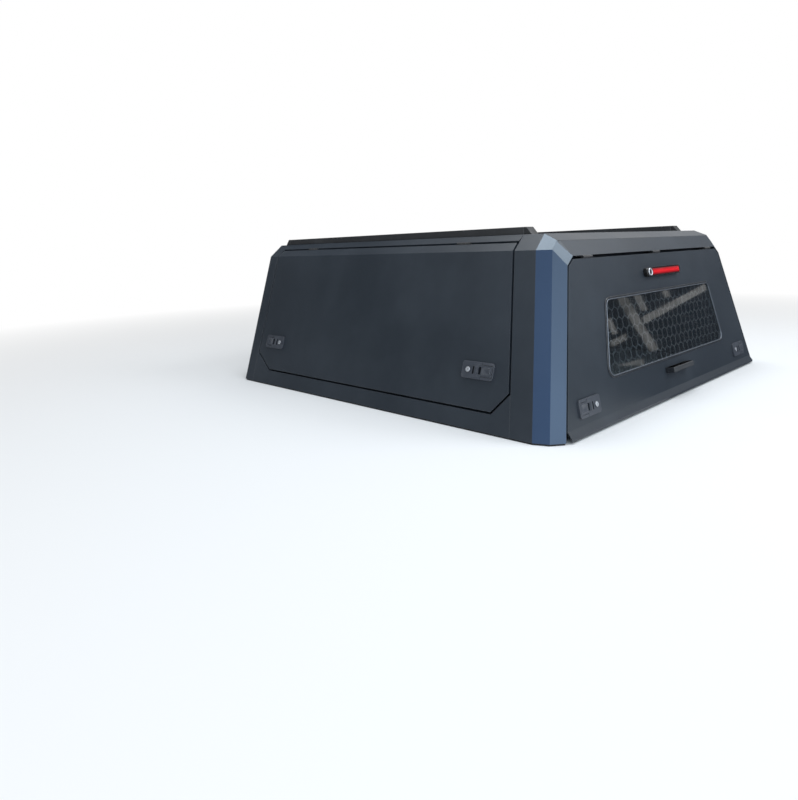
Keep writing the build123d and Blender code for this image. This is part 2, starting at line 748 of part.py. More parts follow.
def bent_strip(points, thickness):
    # Closed outline of a bent sheet: an open line of points and its offset to the right
    lines = side_lines(points, -thickness)[:-1]
    inner = []
    for a, b in zip(lines, lines[1:]):
        det = a[0] * b[1] - a[1] * b[0]
        inner.append(((a[2] * b[1] - a[1] * b[2]) / det, (a[0] * b[2] - a[2] * b[0]) / det))
    first = lines[0]
    last = lines[-1]
    start = (points[0][0] - first[0] * thickness, points[0][1] - first[1] * thickness)
    end = (points[-1][0] - last[0] * thickness, points[-1][1] - last[1] * thickness)
    return points + [end] + inner[::-1] + [start]


SKIRT_FOLD_Y = REAR_LEAN * SKIRT_Z
skirt_half = rear_edge_x(SKIRT_Z + SHEET) - DOOR_GAP
skirt_line = [
    (SKIRT_FOLD_Y - SKIRT_OUT, SKIRT_END),
    (SKIRT_FOLD_Y - SKIRT_OUT, SKIRT_LOW),
    (SKIRT_FOLD_Y, SKIRT_Z),
    (REAR_LEAN * (SKIRT_Z + SHEET), SKIRT_Z + SHEET),
]
skirt = prism_x(bent_strip(skirt_line, SHEET), -skirt_half, skirt_half)
REAR_SPAN = (-PAST, HALF_LENGTH)
rear_holes = [where * latch_hole() for where in rear_seats.values()]
rear_pan = door_pan(rear_door_space) - rear_holes - window_prism(0, *REAR_SPAN)
add("rear_door_skin", largest(rear_pan + skirt))
add("rear_door_frame", largest(door_frame(rear_door_space)))
add("rear_door_latch_plates", *[where * latch_plate() for where in rear_seats.values()])
add("rear_door_locks", *[where * lock_plug() for where in rear_seats.values()])
for key, where in rear_seats.items():
    add("rear_door_" + key + "_paddle", where * latch_paddle())
add("rear_window_glass", window_glass(REAR_FACE, *REAR_SPAN))
add("rear_window_trim", window_trim(REAR_FACE, *REAR_SPAN))

# Window guard: a tray behind the glass, its floor pierced by rows of six-sided cells

GUARD_MID_Z = (WINDOW_TOP_Z + WINDOW_SILL) / 2
PLANE_STRETCH = math.hypot(1, REAR_LEAN)
GUARD_OUTLINE = [(x, (z - GUARD_MID_Z) * PLANE_STRETCH) for x, z in WINDOW_OUTLINE]


def cell(x, y):
    # A six-sided hole with upright sides and points above and below
    radius = (CELL_PITCH - CELL_WEB) / math.sqrt(3)
    angles = [math.radians(30 + 60 * i) for i in range(6)]
    corners = [(x + radius * math.cos(a), y + radius * math.sin(a)) for a in angles]
    return Wire.make_polygon(corners)


def cell_places():
    # Rows of cells whose middles lie within the window or just past its edge
    limits = side_lines(GUARD_OUTLINE, -CELL_PAST)
    row_pitch = CELL_PITCH * math.sqrt(3) / 2
    rows = math.ceil(GUARD_OUTLINE[2][1] / row_pitch) + 1
    columns = math.ceil(WINDOW_LOW_HALF / CELL_PITCH) + 1
    places = []
    for row in range(-rows, rows + 1):
        for column in range(-columns, columns + 1):
            x = (column + row % 2 / 2) * CELL_PITCH
            y = row * row_pitch
            if all(nx * x + ny * y >= offset for nx, ny, offset in limits):
                places.append((x, y))
    return places


def guard_outline(grow):
    corners = inset(GUARD_OUTLINE, -grow)
    outline = make_face(Polyline(*corners, close=True))
    return fillet(outline.vertices(), WINDOW_R).face()


guard_rim = guard_outline(GUARD_MARGIN)
guard_floor = Face(guard_rim.outer_wire(), [cell(x, y) for x, y in cell_places()])
guard_floor = extrude(guard_floor, amount=GUARD_SHEET, dir=(0, 0, 1))
guard_floor = Pos(0, 0, -GUARD_DEPTH - GUARD_SHEET) * guard_floor
guard_wall = extrude(guard_rim, amount=GUARD_DEPTH - SHEET, dir=(0, 0, 1))
guard_hollow = guard_outline(GUARD_MARGIN - GUARD_SHEET)
guard_wall = guard_wall - extrude(guard_hollow, amount=GUARD_DEPTH, dir=(0, 0, 1))
guard = guard_floor + Pos(0, 0, -GUARD_DEPTH) * guard_wall
add("rear_window_mesh", rear_seat(0, GUARD_MID_Z) * guard)

# Brake lamp: a rounded housing with a red lens and a round eye at its left end

LAMP_Z = REAR_FOLD_Z - LAMP_DROP
EYE_X = EYE_IN - LAMP_HALF
LENS_LEFT = EYE_X + EYE_TO_LENS
LENS_RIGHT = LAMP_HALF - LENS_END
lamp_seat = rear_seat(LAMP_SHIFT, LAMP_Z)
pocket_floor = LAMP_PROUD - LENS_POCKET
housing = extrude(RectangleRounded(2 * LAMP_HALF, LAMP_H, LAMP_R), LAMP_PROUD)
housing = housing - block(LENS_LEFT, LENS_RIGHT, -LENS_H / 2, LENS_H / 2, pocket_floor, 2 * LAMP_PROUD)
add("brake_lamp_housing", lamp_seat * housing)
lens_half = LENS_H / 2 - CUP_CLEAR
lens = block(
    LENS_LEFT + CUP_CLEAR, LENS_RIGHT - CUP_CLEAR, -lens_half, lens_half,
    pocket_floor, LAMP_PROUD + LENS_PROUD)
lens = chamfer(lens.faces().sort_by(Axis.Z)[-1].edges(), LENS_EDGE)
add("brake_lamp_lens", lamp_seat * lens)


def eye_disc(radius, height):
    disc = extrude(RegularPolygon(radius, EYE_SIDES), height)
    return lamp_seat * Pos(EYE_X, 0, LAMP_PROUD) * disc


add("lamp_eye_ring", eye_disc(EYE_R, EYE_PROUD) - eye_disc(EYE_R - EYE_RING, EYE_PROUD))
add("lamp_eye", eye_disc(EYE_R - EYE_RING - CUP_CLEAR, EYE_PROUD / 2))

# Pull handle: a folded channel, open above for the fingers

handle_seat = rear_seat(0, HANDLE_Z)
inner_half = HANDLE_HALF - HANDLE_WALL
grip = block(-HANDLE_HALF, HANDLE_HALF, -HANDLE_H / 2, HANDLE_H / 2, 0, HANDLE_PROUD)
grip = chamfer(grip.faces().sort_by(Axis.Z)[-1].edges(), HANDLE_EDGE)
grip = grip - block(
    -inner_half, inner_half, HANDLE_WALL - HANDLE_H / 2, HANDLE_H,
    HANDLE_WALL, HANDLE_PROUD - HANDLE_WALL)
add("rear_pull_handle", handle_seat * grip)

# Hinges, drawn along local Y with the body leaf towards -X and the door leaf towards +X

KNUCKLE_EDGE = KNUCKLE / 2
KNUCKLE_FAR = KNUCKLE_EDGE + KNUCKLE_GAP + KNUCKLE
LEAF_TOP = -BARREL_R - LEAF_DROP
STEM_LOW = -BARREL_R - LEAF_STEM


def barrel(y0, y1):
    return rod(BARREL_R, y0, y1, BARREL_SIDES, bore=True)


def hinge_leaf(x0, x1):
    return block(x0, x1, -KNUCKLE_FAR, KNUCKLE_FAR, LEAF_TOP - LEAF_DEPTH, LEAF_TOP)


def hinge_body():
    # The outer two knuckles, the pin and the leaf on the body's jamb
    leaf_x = (-HALF_GAP, LEAF - HALF_GAP)
    start = KNUCKLE_EDGE + KNUCKLE_GAP
    low = block(*leaf_x, -KNUCKLE_FAR, -start, STEM_LOW, 0) + barrel(-KNUCKLE_FAR, -start)
    high = block(*leaf_x, start, KNUCKLE_FAR, STEM_LOW, 0) + barrel(start, KNUCKLE_FAR)
    pin = rod(PIN_R, -start - KNUCKLE_GAP, start + KNUCKLE_GAP, PIN_SIDES)
    return hinge_leaf(*leaf_x) + low + high + pin


def hinge_door():
    # The middle knuckle and the leaf on the door
    leaf_x = (HALF_GAP - LEAF, HALF_GAP)
    stem = block(*leaf_x, -KNUCKLE_EDGE, KNUCKLE_EDGE, STEM_LOW, 0)
    body = hinge_leaf(*leaf_x) + stem + barrel(-KNUCKLE_EDGE, KNUCKLE_EDGE)
    return body - rod(PIN_R + PIN_CLEAR, -KNUCKLE, KNUCKLE, PIN_SIDES, bore=True)


side_hinge_y = (
    rear_edge_y(SIDE_HINGE_Z) + SIDE_HINGE_INSET,
    front_edge_y(SIDE_HINGE_Z) - SIDE_HINGE_INSET,
)
rear_hinge_end = REAR_FOLD_HALF - REAR_HINGE_INSET
side_hinges = [
    Plane(origin=SIDE_AXIS + Vector(0, y, 0), x_dir=SIDE_DOWN, z_dir=CHAMFER_FACE[1]).location
    for y in side_hinge_y
]
rear_hinges = [
    Plane(origin=REAR_AXIS + Vector(x, 0, 0), x_dir=REAR_DOWN, z_dir=REAR_FACE[1]).location
    for x in (-rear_hinge_end, 0, rear_hinge_end)
]
left_bodies = [where * hinge_body() for where in side_hinges]
left_leaves = [where * hinge_door() for where in side_hinges]
rear_bodies = [where * hinge_body() for where in rear_hinges]
add("hinge_bodies", *left_bodies, *[right(body) for body in left_bodies], *rear_bodies)
add("left_hinge_leaves", *left_leaves)
add("right_hinge_leaves", *[right(leaf) for leaf in left_leaves])
add("rear_hinge_leaves", *[where * hinge_door() for where in rear_hinges])

# Roof rails with a T slot and sloped end caps

RAIL_X = ROOF_HALF - RAIL_IN
RAIL_START = ROOF_REAR_Y + RAIL_REAR_IN
RAIL_END = BASE_LENGTH + FRONT_LEAN * ROOF_Z - RAIL_FRONT_IN
RAIL_TOP = ROOF_Z + RAIL_H
rail_y = (RAIL_START + CAP_LENGTH, RAIL_END - CAP_LENGTH)


def rail_bar(half_width, low, high):
    return block(RAIL_X - half_width, RAIL_X + half_width, *rail_y, low, high)


rail = rail_bar(RAIL_W / 2, ROOF_Z, RAIL_TOP)
rail = rail - rail_bar(RAIL_W / 2 - RAIL_SIDE, ROOF_Z + RAIL_FLOOR, RAIL_TOP - RAIL_WALL)
rail = rail - rail_bar(RAIL_MOUTH / 2, ROOF_Z + RAIL_FLOOR, RAIL_TOP)
cap_points = [
    (RAIL_START, ROOF_Z),
    (RAIL_START + CAP_LENGTH, ROOF_Z),
    (RAIL_START + CAP_LENGTH, RAIL_TOP),
    (RAIL_START + CAP_LENGTH - CAP_FLAT, RAIL_TOP),
]
rear_cap = prism_x(cap_points, RAIL_X - RAIL_W / 2, RAIL_X + RAIL_W / 2)
rail_middle = Plane(origin=(0, (RAIL_START + RAIL_END) / 2, 0), z_dir=(0, 1, 0))
front_cap = mirror(rear_cap, about=rail_middle)
add_pair("roof_rails", rail)
add_pair("rail_end_caps", rear_cap, front_cap)

# The frame's origin is the centre of the whole part's base

boxes = [solid.bounding_box() for solids in exports.values() for solid in solids]
Y_MID = (min(box.min.Y for box in boxes) + max(box.max.Y for box in boxes)) / 2
PLACE = Pos(0, -Y_MID, GASKET)

for name, solids in exports.items():
    moved = [PLACE * solid for solid in solids]
    shape = moved[0] if len(moved) == 1 else Compound(children=moved)
    shape.label = name
    export_step(shape, os.path.join("parts", name + ".step"))

# Joint axes and each node's size, printed in the shared frame


def placed(point):
    x, y, z = point
    return [round(x / 1000, 6), round((y - Y_MID) / 1000, 6), round((z + GASKET) / 1000, 6)]


def paddle_axis(where):
    origin = (where * Pos(PADDLE_PIN_X, 0, PIN_Z)).position
    tip = (where * Pos(PADDLE_PIN_X, -1, PIN_Z)).position
    return {"pos": placed(origin), "axis": list(tip - origin)}


facts = {
    "y_mid": Y_MID,
    "side_axis": placed(SIDE_AXIS),
    "rear_axis": placed(REAR_AXIS),
    "left_rear": paddle_axis(side_seats["rear"]),
    "left_front": paddle_axis(side_seats["front"]),
    "rear_left": paddle_axis(rear_seats["left"]),
    "rear_right": paddle_axis(rear_seats["right"]),
}
print(json.dumps(facts))
for name, solids in exports.items():
    box = Compound(solids).bounding_box()
    low = [round(value) for value in box.min]
    high = [round(value) for value in box.max]
    print(name, len(solids), round(sum(solid.volume for solid in solids) / 1000), low, high)
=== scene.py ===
import json
import math

import bmesh
import bpy
from mathutils import Matrix, Vector
from mathutils.geometry import tessellate_polygon


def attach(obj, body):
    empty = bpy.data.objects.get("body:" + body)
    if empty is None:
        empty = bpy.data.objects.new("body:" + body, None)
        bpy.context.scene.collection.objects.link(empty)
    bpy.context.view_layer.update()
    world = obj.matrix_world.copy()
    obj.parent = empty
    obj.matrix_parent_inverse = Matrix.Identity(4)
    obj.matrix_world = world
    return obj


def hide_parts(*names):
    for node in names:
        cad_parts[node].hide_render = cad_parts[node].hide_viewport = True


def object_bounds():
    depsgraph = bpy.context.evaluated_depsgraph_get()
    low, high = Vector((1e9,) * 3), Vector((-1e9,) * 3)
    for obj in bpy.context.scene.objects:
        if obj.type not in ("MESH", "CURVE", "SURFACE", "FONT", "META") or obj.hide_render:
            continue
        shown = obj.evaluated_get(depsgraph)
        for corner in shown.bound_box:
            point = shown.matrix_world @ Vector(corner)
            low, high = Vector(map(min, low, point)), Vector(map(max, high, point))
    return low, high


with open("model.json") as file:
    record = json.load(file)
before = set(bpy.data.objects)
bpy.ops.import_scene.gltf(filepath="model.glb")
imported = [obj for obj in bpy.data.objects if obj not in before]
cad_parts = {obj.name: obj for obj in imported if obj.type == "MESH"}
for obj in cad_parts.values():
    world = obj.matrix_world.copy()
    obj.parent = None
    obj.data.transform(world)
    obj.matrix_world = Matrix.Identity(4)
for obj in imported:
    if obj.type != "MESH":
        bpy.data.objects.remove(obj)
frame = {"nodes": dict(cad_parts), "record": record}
CAD_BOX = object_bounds()
NODES = frame["nodes"]

# Camera of the photograph: lens and image centre in pixels, place in metres of the shared frame, and angles

IMAGE_W = 798
IMAGE_H = 800
FOCAL_PX = 643.1
CENTRE_PX = (381.23, 310.67)
CAMERA_AT = Vector((-2.3371, -1.6894, 0.5631))
CAMERA_YAW = math.radians(43.598)
CAMERA_PITCH = math.radians(5.625)
CAMERA_ROLL = math.radians(2.049)
SENSOR = 36.0
CLIP_END = 200.0


def add_camera():
    data = bpy.data.cameras.new("camera")
    data.sensor_width = SENSOR
    data.lens = FOCAL_PX * SENSOR / IMAGE_H
    data.shift_x = (IMAGE_W / 2 - CENTRE_PX[0]) / IMAGE_H
    data.shift_y = (CENTRE_PX[1] - IMAGE_H / 2) / IMAGE_H
    data.clip_end = CLIP_END
    forward = Vector((
        math.sin(CAMERA_YAW) * math.cos(CAMERA_PITCH),
        math.cos(CAMERA_YAW) * math.cos(CAMERA_PITCH),
        -math.sin(CAMERA_PITCH)))
    level = Vector((math.cos(CAMERA_YAW), -math.sin(CAMERA_YAW), 0))
    down = forward.cross(level)
    right = level * math.cos(CAMERA_ROLL) + down * math.sin(CAMERA_ROLL)
    down = down * math.cos(CAMERA_ROLL) - level * math.sin(CAMERA_ROLL)
    turn = Matrix((right, -down, -forward)).transposed().to_4x4()
    camera = bpy.data.objects.new("camera", data)
    camera.matrix_world = Matrix.Translation(CAMERA_AT) @ turn
    bpy.context.scene.collection.objects.link(camera)
    bpy.context.scene.camera = camera


# Shader building

BEVEL_SAMPLES = 4
EDGE_BEND = (0.995, 0.8)


def rgb(red, green, blue):
    return (red, green, blue, 1.0)


def shade(level):
    return (level, level, level, 1.0)


def feed(tree, socket, value):
    # A link from another node, or a value of the socket's own
    if isinstance(value, bpy.types.NodeSocket):
        tree.links.new(value, socket)
    else:
        socket.default_value = value


def add_node(tree, kind, inputs=None, **settings):
    node = tree.nodes.new(kind)
    for key, value in settings.items():
        setattr(node, key, value)
    for key, value in (inputs or {}).items():
        feed(tree, node.inputs[key], value)
    return node


def seen_directly(tree):
    # 1 for rays from the camera, off gloss and through glass, which see the studio as plain white
    rays = add_node(tree, "ShaderNodeLightPath").outputs
    seen = rays["Is Camera Ray"]
    for kind in ("Is Glossy Ray", "Is Transmission Ray"):
        seen = add_node(tree, "ShaderNodeMath", {0: seen, 1: rays[kind]}, operation="MAXIMUM").outputs[0]
    return seen


class Shader:
    """A material with a Principled shader, and short calls that add nodes to it."""

    def __init__(self, name):
        self.material = bpy.data.materials.new(name)
        self.material.use_nodes = True
        self.tree = self.material.node_tree
        self.bsdf = self.tree.nodes["Principled BSDF"]
        self.place = self.add("ShaderNodeTexCoord").outputs["Object"]

    def add(self, kind, inputs=None, **settings):
        return add_node(self.tree, kind, inputs, **settings)

    def set(self, **values):
        # Shader sockets by name, with underscores for spaces
        for key, value in values.items():
            feed(self.tree, self.bsdf.inputs[key.replace("_", " ")], value)

    def blend(self, amount, other):
        # Another shader in place of the first one, by an amount
        both = self.add("ShaderNodeMixShader", {0: amount, 1: self.bsdf.outputs[0], 2: other.outputs[0]})
        feed(self.tree, self.tree.nodes["Material Output"].inputs["Surface"], both.outputs[0])

    def stretched(self, scale):
        return self.add("ShaderNodeMapping", {"Vector": self.place, "Scale": scale}).outputs["Vector"]

    def noise(self, scale, detail=2.0, rough=0.5, where=None):
        inputs = {"Vector": where or self.place, "Scale": scale, "Detail": detail, "Roughness": rough}
        return self.add("ShaderNodeTexNoise", inputs).outputs["Fac"]

    def math(self, operation, a, b=0.0):
        return self.add("ShaderNodeMath", {0: a, 1: b}, operation=operation).outputs[0]

    def times(self, a, b):
        return self.math("MULTIPLY", a, b)

    def remap(self, value, low, high, to_low=0.0, to_high=1.0):
        inputs = {"Value": value, "From Min": low, "From Max": high, "To Min": to_low, "To Max": to_high}
        return self.add("ShaderNodeMapRange", inputs).outputs["Result"]

    def mix(self, amount, a, b):
        # The colour sockets of a Mix node are its inputs 6 and 7 and its output 2
        node = self.add("ShaderNodeMix", {"Factor": amount}, data_type="RGBA")
        feed(self.tree, node.inputs[6], a)
        feed(self.tree, node.inputs[7], b)
        return node.outputs[2]

    def normal(self):
        # The normal in the object's own frame, as its three parts without their signs
        facing = self.add("ShaderNodeTexCoord").outputs["Normal"]
        parts = self.add("ShaderNodeSeparateXYZ", {"Vector": facing}).outputs
        return [self.math("ABSOLUTE", part) for part in parts]

    def round_normal(self, radius):
        return self.add("ShaderNodeBevel", {"Radius": radius}, samples=BEVEL_SAMPLES).outputs["Normal"]

    def lighter_edges(self, body, radius, amount, level):
        # A colour that turns grey by an amount along the edges, where the rounded normal bends away. On the
        # powder paint this is a painted edge highlight
        plain = self.add("ShaderNodeNewGeometry").outputs["Normal"]
        inputs = {0: self.round_normal(radius), 1: plain}
        dot = self.add("ShaderNodeVectorMath", inputs, operation="DOT_PRODUCT").outputs["Value"]
        return self.mix(self.times(self.remap(dot, *EDGE_BEND), amount), body, shade(level))

    def bump(self, height, strength, distance, under=None):
        inputs = {"Height": height, "Strength": strength, "Distance": distance}
        if under is not None:
            inputs["Normal"] = under
        return self.add("ShaderNodeBump", inputs).outputs["Normal"]


# Materials

PAINT_ROUND = 0.0012
PAINT_ROUGH = 0.39
# How much lighter the body paint's edges are painted, as a painted highlight
EDGE_HIGHLIGHT_ON_PAINT = 0.13
PAINT_LEVEL = 0.42
PAINT_COLOURS = (rgb(0.018, 0.024, 0.032), rgb(0.037, 0.047, 0.060))
# Painted sky reflection on the slanted rear corner facets: their specular level, bluer base colours, and
# blue specular tints for facets that face sideways, backwards and up
PAINTED_SKY_LEVEL = 0.9
PAINTED_SKY_COLOURS = (rgb(0.012, 0.020, 0.036), rgb(0.027, 0.041, 0.066))
SIDE_PAINTED_SKY_TINT = rgb(0.34, 0.55, 1.0)
REAR_PAINTED_SKY_TINT = rgb(0.50, 0.68, 0.94)
TOP_PAINTED_SKY_TINT = rgb(0.72, 0.88, 1.0)
PLAIN_LEVEL = 0.5
# Low specular level for the painted shade in the latch slots
GROOVE_SHADE_LEVEL = 0.08


def coat(s, colours, rough, edge, round_edge=PAINT_ROUND):
    # Baked powder paint: a fine pebbled skin, a faint haze of dust and edges painted slightly lighter as a
    # highlight
    dark, dusty = colours
    haze = s.remap(s.noise(2.2, detail=5.0, rough=0.62), 0.42, 0.72)
    grain = s.remap(s.noise(900.0, detail=3.0, rough=0.6), 0.35, 0.65)
    streak = s.noise(9.0, detail=4.0, rough=0.6, where=s.stretched((1.0, 1.0, 0.12)))
    haze = s.times(haze, s.remap(streak, 0.35, 0.7, 0.5, 1.0))
    body = s.mix(s.times(haze, 0.7), dark, dusty)
    body = s.mix(s.times(grain, 0.22), body, dusty)
    # The edges are painted lighter by the amount edge: a painted highlight
    s.set(Base_Color=s.lighter_edges(body, radius=0.0022, amount=edge, level=0.35))
    wear = s.math("ADD", s.times(grain, 0.3), haze)
    s.set(Roughness=s.remap(wear, 0.0, 1.3, rough, rough + 0.14))
    pebble = s.noise(620.0)
    wave = s.noise(38.0, rough=0.4)
    under = s.bump(wave, strength=0.06, distance=0.002, under=s.round_normal(round_edge))
    s.set(Normal=s.bump(pebble, strength=0.16, distance=0.0004, under=under))


def powder_coat(name, colours, rough, edge=0.10, round_edge=PAINT_ROUND, level=PLAIN_LEVEL):
    s = Shader(name)
    s.set(Specular_IOR_Level=level)
    coat(s, colours, rough, edge, round_edge)
    return s.material


def body_paint(name):
    return powder_coat(name, PAINT_COLOURS, PAINT_ROUGH, EDGE_HIGHLIGHT_ON_PAINT, level=PAINT_LEVEL)


def paint_with_painted_sky(name):
    # The same paint with a painted blue sky reflection, for the slanted facets between the sides and the
    # rear: bluer base colours, a stronger specular level and a blue specular tint that follows the facet's
    # normal
    s = Shader(name)
    # Painted reflection: the specular tint is bluest on facets that face sideways, paler on those that face
    # back and palest on those that face up
    back, up = s.normal()[1:]
    upright = s.mix(s.remap(back, 0.5, 0.6), SIDE_PAINTED_SKY_TINT, REAR_PAINTED_SKY_TINT)
    s.set(Specular_Tint=s.mix(s.remap(up, 0.42, 0.48), upright, TOP_PAINTED_SKY_TINT), Specular_IOR_Level=PAINTED_SKY_LEVEL)
    coat(s, PAINTED_SKY_COLOURS, PAINT_ROUGH, EDGE_HIGHLIGHT_ON_PAINT)
    return s.material


def cast_handle(name):
    # A grey front with speckle, and dark ends
    s = Shader(name)
    speckle = s.remap(s.noise(420.0, detail=4.0, rough=0.7), 0.4, 0.62)
    sideways = s.normal()[0]
    ends = s.remap(sideways, 0.6, 0.8)
    front = s.mix(speckle, rgb(0.026, 0.028, 0.031), rgb(0.062, 0.065, 0.070))
    s.set(Base_Color=s.mix(ends, front, rgb(0.010, 0.012, 0.016)))
    s.set(Roughness=s.remap(speckle, 0.0, 1.0, 0.42, 0.6), Specular_IOR_Level=0.35)
    s.set(Normal=s.bump(speckle, strength=0.2, distance=0.0004, under=s.round_normal(0.0008)))
    return s.material


def moulded(name, dark, light, rough, level=PLAIN_LEVEL):
    # Moulded plastic with a fine spark-eroded grain
    s = Shader(name)
    grain = s.noise(1400.0, detail=3.0, rough=0.65)
    rub = s.remap(s.noise(26.0, detail=4.0, rough=0.6), 0.45, 0.7)
    body = s.mix(s.times(rub, 0.5), dark, light)
    s.set(Base_Color=s.lighter_edges(body, radius=0.0012, amount=0.25, level=0.3), Specular_IOR_Level=level)
    s.set(Roughness=s.remap(grain, 0.3, 0.7, rough - 0.06, rough + 0.08))
    s.set(Normal=s.bump(grain, strength=0.2, distance=0.0003, under=s.round_normal(0.0006)))
    return s.material


def rubber(name):
    # Black rubber with a pale bloom in places
    s = Shader(name)
    grain = s.noise(480.0, detail=4.0, rough=0.6)
    bloom = s.remap(s.noise(14.0, detail=4.0, rough=0.6), 0.4, 0.75)
    s.set(Base_Color=s.mix(bloom, rgb(0.012, 0.012, 0.013), rgb(0.035, 0.035, 0.036)))
    s.set(Roughness=s.remap(grain, 0.3, 0.7, 0.55, 0.75), Specular_IOR_Level=0.35)
    s.set(Normal=s.bump(grain, strength=0.25, distance=0.0004, under=s.round_normal(0.001)))
    return s.material


def metal(name, colour, rough, metallic):
    # Fine-grained metal, duller in patches
    s = Shader(name)
    grain = s.noise(1800.0, detail=3.0, rough=0.6)
    dull = s.remap(s.noise(30.0, detail=4.0, rough=0.6), 0.4, 0.7)
    s.set(Base_Color=s.mix(s.times(dull, 0.2), rgb(*colour), rgb(*(0.6 * part for part in colour))))
    s.set(Roughness=s.remap(grain, 0.3, 0.7, rough - 0.05, rough + 0.1), Metallic=metallic)
    s.set(Normal=s.bump(grain, strength=0.08, distance=0.0002, under=s.round_normal(0.0006)))
    return s.material


def anodised(name):
    # Black anodised extrusion with die lines along Y
    s = Shader(name)
    lines = s.noise(900.0, detail=3.0, rough=0.6, where=s.stretched((1.0, 0.01, 1.0)))
    chalk = s.remap(s.noise(6.0, detail=5.0, rough=0.6), 0.45, 0.75)
    body = s.mix(s.times(chalk, 0.6), rgb(0.018, 0.019, 0.021), rgb(0.05, 0.052, 0.056))
    s.set(Base_Color=s.lighter_edges(body, radius=0.0015, amount=0.35, level=0.35), Specular_IOR_Level=0.6)
    s.set(Roughness=s.remap(lines, 0.3, 0.7, 0.32, 0.48))
    s.set(Normal=s.bump(lines, strength=0.12, distance=0.0003, under=s.round_normal(0.0008)))
    return s.material


def tinted_glass(name):
    # Dark glass under a faint film of dust; shadow rays pass straight through it
    s = Shader(name)
    film = s.remap(s.noise(5.0, detail=5.0, rough=0.6), 0.4, 0.75)
    s.set(Base_Color=s.mix(s.times(film, 0.4), rgb(0.34, 0.37, 0.38), rgb(0.42, 0.44, 0.44)))
    s.set(Transmission_Weight=0.989, IOR=1.5)
    s.set(Roughness=s.remap(film, 0.0, 1.0, 0.026, 0.055))
    s.set(Normal=s.bump(s.noise(3.0, detail=1.0), strength=0.02, distance=0.002))
    shadow = s.add("ShaderNodeLightPath").outputs["Is Shadow Ray"]
    s.blend(shadow, s.add("ShaderNodeBsdfTransparent", {"Color": rgb(0.62, 0.65, 0.66)}))
    return s.material


def red_lens(name):
    # Red plastic, deeper in colour towards its rim, which the mesh carries as an attribute, with a faint
    # painted red glow
    s = Shader(name)
    rim = s.add("ShaderNodeAttribute", attribute_name="rim").outputs["Fac"]
    cloud = s.noise(60.0, where=s.stretched((1.0, 1.0, 0.2)))
    middle = s.mix(cloud, rgb(0.60, 0.006, 0.012), rgb(0.78, 0.012, 0.020))
    s.set(Base_Color=s.mix(rim, middle, rgb(0.10, 0.002, 0.004)))
    s.set(Roughness=s.remap(s.noise(300.0), 0.3, 0.7, 0.26, 0.36), Coat_Weight=0.06, Coat_Roughness=0.12)
    # The faint red emission is a painted glow that brightens the lens
    s.set(Specular_IOR_Level=0.12, Emission_Color=rgb(0.9, 0.02, 0.02), Emission_Strength=0.015)
    return s.material


def gloss_black(name):
    # Polished black plastic with faint swirls
    s = Shader(name)
    swirl = s.noise(220.0, detail=3.0, rough=0.6)
    s.set(Base_Color=s.mix(s.remap(s.noise(18.0), 0.4, 0.7), shade(0.006), shade(0.014)))
    s.set(Roughness=s.remap(swirl, 0.3, 0.7, 0.1, 0.2), Specular_IOR_Level=0.55)
    s.set(Normal=s.bump(swirl, strength=0.03, distance=0.0002, under=s.round_normal(0.0012)))
    return s.material


MATERIALS = {
    "black_paint": body_paint("black_paint"),
    "corner_paint": body_paint("corner_paint"),
    "inner_paint": powder_coat(
        "inner_paint", (rgb(0.02, 0.021, 0.022), rgb(0.04, 0.042, 0.044)), rough=0.52),
    "seal_rubber": rubber("seal_rubber"),
    "window_glass": tinted_glass("window_glass"),
    "latch_plastic": moulded(
        "latch_plastic", rgb(0.045, 0.051, 0.064), rgb(0.080, 0.088, 0.104), rough=0.38),
    "lock_metal": metal("lock_metal", (0.55, 0.57, 0.60), rough=0.38, metallic=0.7),
    "hinge_metal": powder_coat(
        "hinge_metal", (rgb(0.012, 0.012, 0.013), rgb(0.03, 0.03, 0.032)),
        rough=0.4, edge=0.3, round_edge=0.0004),
    "lamp_black": gloss_black("lamp_black"),
    "lamp_red": red_lens("lamp_red"),
    "rail_metal": anodised("rail_metal"),
    "mesh_metal": powder_coat(
        "mesh_metal", (rgb(0.185, 0.196, 0.215), rgb(0.24, 0.25, 0.27)),
        rough=0.42, edge=0.15, round_edge=0.0005),
}
# The corner paint with the painted blue sky reflection, for the slanted facets
PAINTED_SKY_FACETS = paint_with_painted_sky("paint_with_painted_sky")
TRIM_RUBBER = moulded("trim_rubber", rgb(0.026, 0.028, 0.032), rgb(0.05, 0.053, 0.058), rough=0.24)
CAP_PLASTIC = moulded("cap_plastic", rgb(0.010, 0.011, 0.013), rgb(0.024, 0.025, 0.028), rough=0.5)
# Near-black floor of each keyway: painted shade for the depth of the keyway
KEYWAY_PAINTED_SHADE = moulded("keyway_painted_shade", shade(0.008), shade(0.015), rough=0.6)
# Near black, with little gloss, for the thin patches of painted shade in the latch slots
GROOVE_PAINTED_SHADE = moulded(
    "groove_painted_shade", rgb(0.004, 0.005, 0.007), rgb(0.008, 0.009, 0.012), rough=0.8, level=GROOVE_SHADE_LEVEL)
STRIP_METAL = metal("strip_metal", (0.15, 0.17, 0.20), rough=0.38, metallic=0.6)
OWN_FINISH = {
    "rear_window_trim": TRIM_RUBBER,
    "front_window_trim": TRIM_RUBBER,
    "rear_pull_handle": cast_handle("handle_cast"),
    "rail_end_caps": CAP_PLASTIC,
}

# CAD nodes: their materials and rounded edges

FACET_SLANT = 0.15
WELD_DISTANCE = 0.00001
FLAT_ANGLE = math.radians(0.5)
BEVEL_ANGLE = math.radians(12)


def dress_nodes():
    # Every CAD node takes the material of its slot in the record, or the finish of its own
    for subpart in frame["record"]["subparts"]:
        node = subpart["node"]
        mesh = NODES[node].data
        mesh.materials.clear()
        mesh.materials.append(OWN_FINISH.get(node, MATERIALS[subpart["material_slot"]]))


